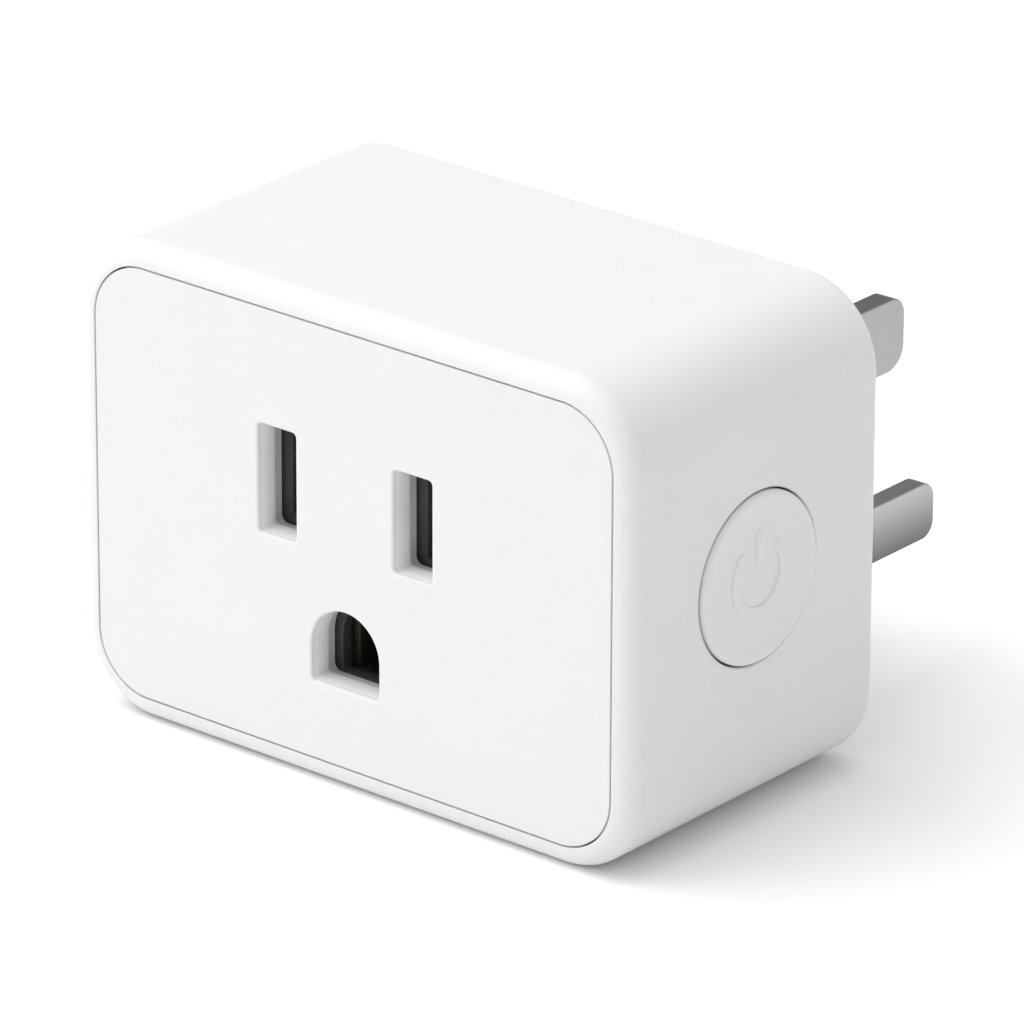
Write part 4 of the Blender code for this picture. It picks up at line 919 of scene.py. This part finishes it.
def fine_screw(name, node_name):
    """A cross-head screw with a domed head and a rolled thread, its head towards +Y."""
    low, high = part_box(node_name)
    at = middle(low, high)
    head = (high.x - low.x) / 2
    top, end, neck = high.y, low.y, high.y - HEAD_THICKNESS
    around = circle((at.x, at.z), SCREW_STEPS)
    profile = [(head * HEAD_FLAT, top)]
    for step in range(1, HEAD_STEPS + 1):
        lean = math.radians(90 * step / HEAD_STEPS)
        radius = head * (HEAD_FLAT + (1 - HEAD_FLAT) * math.sin(lean))
        profile.append((radius, top - HEAD_DOME * (1 - math.cos(lean))))
    profile += [(head, neck), (THREAD_ROOT, neck)]
    rings = [[front_place(u, v, depth) for u, v in around(radius)] for radius, depth in profile]
    start, stop = neck - THREAD_GAP, end + POINT_LENGTH
    count = int((start - stop) / (THREAD_PITCH / THREAD_STEPS))
    for step in range(count + 1):
        fade = min(1.0, 4 * step / count, 4 * (count - step) / count)
        rings.append(thread_ring(at, start + (stop - start) * step / count, fade))
    rings.append([front_place(u, v, end) for u, v in around(POINT_RADIUS)])
    bm = bmesh.new()
    first, last = skin(bm, rings)
    cap(bm, first)
    cap(bm, last)
    made = link(name, bm)
    arm = head * CROSS_ARM
    path = [(CROSS_TAPER[0], top - CROSS_DEPTH), (CROSS_TAPER[1], top + CROSS_TOP)]
    for wide, tall in ((arm, CROSS_HALF), (CROSS_HALF, arm)):
        bm = bmesh.new()
        closed(bm, rounded(wide, tall, CROSS_CORNER, (at.x, at.z), 3), path)
        combine(made, link("recess", bm), "DIFFERENCE")
    return made


for number, source in enumerate(CASE_SCREWS, 1):
    piece(fine_screw(f"case_screw_{number}", source), SCREW_STEEL, "case", "steel", source)
for number, source in enumerate(BOARD_SCREWS, 1):
    piece(fine_screw(f"post_screw_{number}", source), SCREW_STEEL, "case", "steel", source)

# ---------------------------------------------------------------- button

SYMBOL_RADIUS = 2.7 * MM
SYMBOL_STROKE = 0.42 * MM  # half width of the raised stroke
SYMBOL_GAP = 38  # half angle of the ring's gap, in degrees
CAP_EDGE = 0.4 * MM
CAP_DISH = 0.2 * MM
SYMBOL_HEIGHT = 0.2 * MM
SYMBOL_RISE = 0.2 * MM  # above the cap's centre
BAR_START = 0.7 * MM
BAR_LENGTH = 2.9 * MM
BAR_STEPS = 16
RING_STEPS = 72
STROKE_ENDS = (0.35, 0.75, 0.94)  # the stroke narrows over its last points
STROKE_DEPTH = 0.3 * MM  # how deep a stroke reaches into the cap
STROKE_SINK = 0.02 * MM  # how far a stroke's base lies below the dish
FLANGE_GAP = 0.3 * MM
FLANGE_THICKNESS = 0.8 * MM
STEM_RADIUS = 1.5 * MM
TURNED_EDGE = 0.15 * MM
DISH_STEPS = 24


def ridge(bm, path, half, height, base):
    """A low raised stroke along a path of (y, z) points on a face turned to +X."""
    rings = []
    section = arc((0, 0), 1.0, 0, 180, 8)
    for i, (y, z) in enumerate(path):
        before = Vector(path[max(i - 1, 0)])
        after = Vector(path[min(i + 1, len(path) - 1)])
        along = (after - before).normalized()
        side = Vector((-along.y, along.x))
        ends = min(i, len(path) - 1 - i)
        shrink = STROKE_ENDS[ends] if ends < len(STROKE_ENDS) else 1.0
        ring = []
        for u, v in section:
            spot = Vector((y, z)) + side * (u * half * shrink)
            ring.append((base + height * shrink * math.sqrt(max(v, 0.0)), spot.x, spot.y))
        for u, v in reversed(section[1:-1]):
            spot = Vector((y, z)) + side * (u * half * shrink)
            ring.append((base - STROKE_DEPTH, spot.x, spot.y))
        rings.append(ring)
    first, last = skin(bm, rings)
    cap(bm, first)
    cap(bm, last)


def button_cap():
    """A turned cap with a rounded rim and a shallow dished face, a flange and a stem."""
    top = CAP_HIGH.x
    flange = (CAP_HIGH.z - CAP_LOW.z) / 2
    flange_outer = OUTER_X - WALL - FLANGE_GAP
    flange_inner = flange_outer - FLANGE_THICKNESS
    edge, rim = TURNED_EDGE, BUTTON_RADIUS - CAP_EDGE
    path = [
        (STEM_RADIUS - edge, CAP_LOW.x),
        (STEM_RADIUS, CAP_LOW.x + edge),
        (STEM_RADIUS, flange_inner),
        (flange - edge, flange_inner),
        (flange, flange_inner + edge),
        (flange, flange_outer - edge),
        (flange - edge, flange_outer),
        (BUTTON_RADIUS, flange_outer),
    ]
    path += round_edge(rim, top - CAP_EDGE, CAP_EDGE, 0, 90, 8)
    for step in range(1, DISH_STEPS):
        radius = rim * (1 - step / DISH_STEPS)
        path.append((radius, top - CAP_DISH * (1 - (radius / rim) ** 4)))
    bm = bmesh.new()
    closed(bm, circle((BUTTON.y, BUTTON.z), BUTTON_STEPS), path, side_place)
    made = link("power_button", bm)
    bm = bmesh.new()
    symbol_z = BUTTON.z + SYMBOL_RISE
    gap = 90 + SYMBOL_GAP, 450 - SYMBOL_GAP
    ring = arc((BUTTON.y, symbol_z), SYMBOL_RADIUS, *gap, RING_STEPS)
    base = top - CAP_DISH - STROKE_SINK
    ridge(bm, ring, SYMBOL_STROKE, SYMBOL_HEIGHT, base)
    bar_z = symbol_z + BAR_START
    bar = [(BUTTON.y, bar_z + BAR_LENGTH * n / BAR_STEPS) for n in range(BAR_STEPS + 1)]
    ridge(bm, bar, SYMBOL_STROKE, SYMBOL_HEIGHT, base)
    combine(made, link("symbol", bm), "UNION")
    return made


piece(button_cap(), CAP_WHITE, "button", "white_plastic", "button_cap")

# ---------------------------------------------------------------- inner parts keep their CAD shape

SLEEVE_COLOUR = (0.045, 0.05, 0.07)
STRIPE_REACH = 0.38  # where the stripe starts, of the capacitor's diameter
BARE_END = 0.25 * MM
SLEEVES = {}
for source, side in (("input_capacitor_1", 1), ("input_capacitor_2", 1), ("output_capacitor", -1)):
    low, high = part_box(source)
    stripe = middle(low, high).x + side * (high.x - low.x) * STRIPE_REACH
    SLEEVES[source] = capacitor_sleeve(source, SLEEVE_COLOUR, low.y + BARE_END, stripe, side)
CERAMIC = (0.26, 0.36, 0.33)
BANDS = (  # place from the body's middle, colour
    (-2.1 * MM, (0.4, 0.2, 0.05)),
    (-0.9 * MM, (0.02, 0.02, 0.02)),
    (0.4 * MM, (0.7, 0.55, 0.2)),
)
RESISTOR = banded_resistor("fuse_resistor", CERAMIC, middle(*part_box("fuse_resistor")).z, BANDS)
LOOKS = {
    "board_header": BLACK_NYLON,
    "bridge_rectifier": BLACK_EPOXY,
    "button_board": SIDE_BOARD,
    "button_cable": CABLE,
    "choke_core": FERRITE,
    "choke_winding": CHOKE_WIRE,
    "contact_holder": BLACK_NYLON,
    "contact_holder_lid": BLACK_NYLON,
    "filter_inductor": INDUCTOR,
    "fuse_resistor": RESISTOR,
    "ground_contact": BRASS_PAINTED_SHADE,
    "ground_strap": CONTACT_BRASS,
    "line_contact": SPRING_BRASS,
    "neutral_bus": CONTACT_BRASS,
    "neutral_contact": SPRING_BRASS,
    "power_board": GREEN_BOARD,
    "power_ic": BLACK_EPOXY,
    "prong_retainer": BLACK_NYLON,
    "relay_armature": IRON,
    "relay_base": RELAY_BASE,
    "relay_bobbin": CREAM,
    "relay_coil": COIL,
    "relay_coil_pin_1": TIN_STEEL,
    "relay_coil_pin_2": TIN_STEEL,
    "relay_common_terminal": CONTACT_BRASS,
    "relay_contact_spring": SPRING_BRASS,
    "relay_core": IRON,
    "relay_cover": RELAY_BLUE,
    "relay_fixed_contact": CONTACT_BRASS,
    "relay_yoke": IRON,
    "status_led": LENS,
    "tact_switch_base": BLACK_NYLON,
    "tact_switch_cover": TIN_STEEL,
    "tact_switch_dome": TIN_STEEL,
    "tact_switch_plunger": BLACK_EPOXY,
    "varistor": VARISTOR,
    "wifi_board": RADIO_BOARD,
    "wifi_shield": TIN_STEEL,
    **SLEEVES,
}
WELD_DISTANCE = 0.001 * MM
SOFT_EDGE = 0.07 * MM
SOFT_ANGLE = 50  # degrees; flatter edges stay as they are
for source, look in LOOKS.items():
    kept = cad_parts[source]
    for material_slot in kept.material_slots:
        material_slot.material = look
    weld = kept.modifiers.new("weld", "WELD")
    weld.merge_threshold = WELD_DISTANCE
    soften = kept.modifiers.new("soft_edges", "BEVEL")
    soften.width = SOFT_EDGE
    soften.segments = 2
    soften.limit_method = "ANGLE"
    soften.angle_limit = math.radians(SOFT_ANGLE)
    soften.use_clamp_overlap = True

# ---------------------------------------------------------------- floor, light and camera

FLOOR_HALF = 3.0  # metres
FLOOR_SQUARES = 40
FLOOR_COLOUR = (0.93, 0.93, 0.93)
bm = bmesh.new()
bmesh.ops.create_grid(bm, x_segments=FLOOR_SQUARES, y_segments=FLOOR_SQUARES, size=FLOOR_HALF)
bmesh.ops.translate(bm, vec=(0, 0, HOUSING_LOW.z), verts=bm.verts)
floor = link("floor", bm)
paper = plain("floor_paper", FLOOR_COLOUR, 0.004, 0.8, 0.05, 0.8 * MM, 0.004 * MM, cloud=0.2)
floor.data.materials.append(paper)
floor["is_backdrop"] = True

LIGHT_DISTANCE = 0.75  # metres from the object
LIGHTS = {  # direction from the object, size in metres, power in watts
    "overhead": ((-0.15, -0.10, 0.98), 0.9, 2.85),
    "high": ((-0.45, -0.25, 0.86), 0.5, 1.8),
    "left": ((-0.85, -0.25, 0.45), 0.6, 0.4),
    "front": ((-0.35, -0.85, 0.40), 0.6, 1.2),
}
centre = middle(HOUSING_LOW, HOUSING_HIGH)


def soft_light(name, direction, size, power):
    """A square area light that faces the object and isn't mirrored in it."""
    lamp = bpy.data.lights.new(name, "AREA")
    lamp.shape = "SQUARE"
    lamp.size = size
    lamp.energy = power
    made = bpy.data.objects.new(name, lamp)
    direction = Vector(direction).normalized()
    made.location = centre + direction * LIGHT_DISTANCE
    made.rotation_mode = "QUATERNION"
    made.rotation_quaternion = direction.to_track_quat("Z", "Y")
    made.visible_glossy = False
    bpy.context.scene.collection.objects.link(made)


for name, settings in LIGHTS.items():
    soft_light(name, *settings)

SKY = 0.665  # the surroundings as a light
SEEN = 1.2  # the surroundings as the camera sees them
MIRRORED = 0.75  # the surroundings in a reflection
MIRRORED_DARK = 0.29  # and towards the dark side
DARK_SIDE = Vector((-0.585, 0.717, 0.38)).normalized()
DARK_START, DARK_FULL = 0.55, 0.95  # cosines from the dark side's direction
world = bpy.data.worlds.new("studio")
world.use_nodes = True
tree = world.node_tree
background = tree.nodes["Background"]
rays = node(tree, "ShaderNodeLightPath").outputs
direction = node(tree, "ShaderNodeTexCoord").outputs["Generated"]
facing = dot_product(tree, direction, tuple(DARK_SIDE))
mirrored = ranged(tree, facing, DARK_START, DARK_FULL, MIRRORED, MIRRORED_DARK)


def chosen(switch, when_on, when_off):
    """One of two levels, by a switch that is 0 or 1."""
    off = math_node(tree, "SUBTRACT", 1.0, switch)
    on_part = math_node(tree, "MULTIPLY", switch, when_on)
    return math_node(tree, "ADD", on_part, math_node(tree, "MULTIPLY", off, when_off))


unseen = chosen(rays["Is Glossy Ray"], mirrored, SKY)
strength = chosen(rays["Is Camera Ray"], SEEN, unseen)
tree.links.new(strength, background.inputs["Strength"])
background.inputs["Color"].default_value = (1.0, 1.0, 1.0, 1.0)
bpy.context.scene.world = world

VIEW_AZIMUTH = 39.2235  # degrees from the front, towards the button's side
VIEW_ELEVATION = 22.3347
VIEW_DISTANCE = 645.78 * MM
VIEW_ROLL = 0.431
AIM_RIGHT = 2.667 * MM
AIM_UP = -1.093 * MM
FOCAL_LENGTH = 310.0  # millimetres, as is the sensor
SENSOR = 36.0
CLIP = (0.05, 20.0)

azimuth, elevation, roll = (math.radians(v) for v in (VIEW_AZIMUTH, VIEW_ELEVATION, VIEW_ROLL))
right = Vector((math.cos(azimuth), math.sin(azimuth), 0))
level = Vector((math.sin(azimuth), -math.cos(azimuth), 0))
back = level * math.cos(elevation) + Vector((0, 0, math.sin(elevation)))
up = back.cross(right)
tilted_right = right * math.cos(roll) + up * math.sin(roll)
tilted_up = up * math.cos(roll) - right * math.sin(roll)
eye = back * VIEW_DISTANCE
aim = centre + tilted_right * AIM_RIGHT + tilted_up * AIM_UP
axis_z = (eye - aim).normalized()
axis_x = tilted_up.cross(axis_z).normalized()
axis_y = axis_z.cross(axis_x)
camera_data = bpy.data.cameras.new("camera")
camera_data.lens = FOCAL_LENGTH
camera_data.sensor_width = SENSOR
camera_data.clip_start, camera_data.clip_end = CLIP
camera = bpy.data.objects.new("camera", camera_data)
bpy.context.scene.collection.objects.link(camera)
camera.matrix_world = Matrix((axis_x, axis_y, axis_z)).transposed().to_4x4()
camera.location = eye
bpy.context.scene.camera = camera

bpy.context.scene.view_settings.view_transform = "Standard"
bpy.context.scene.view_settings.look = "None"

low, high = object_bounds()
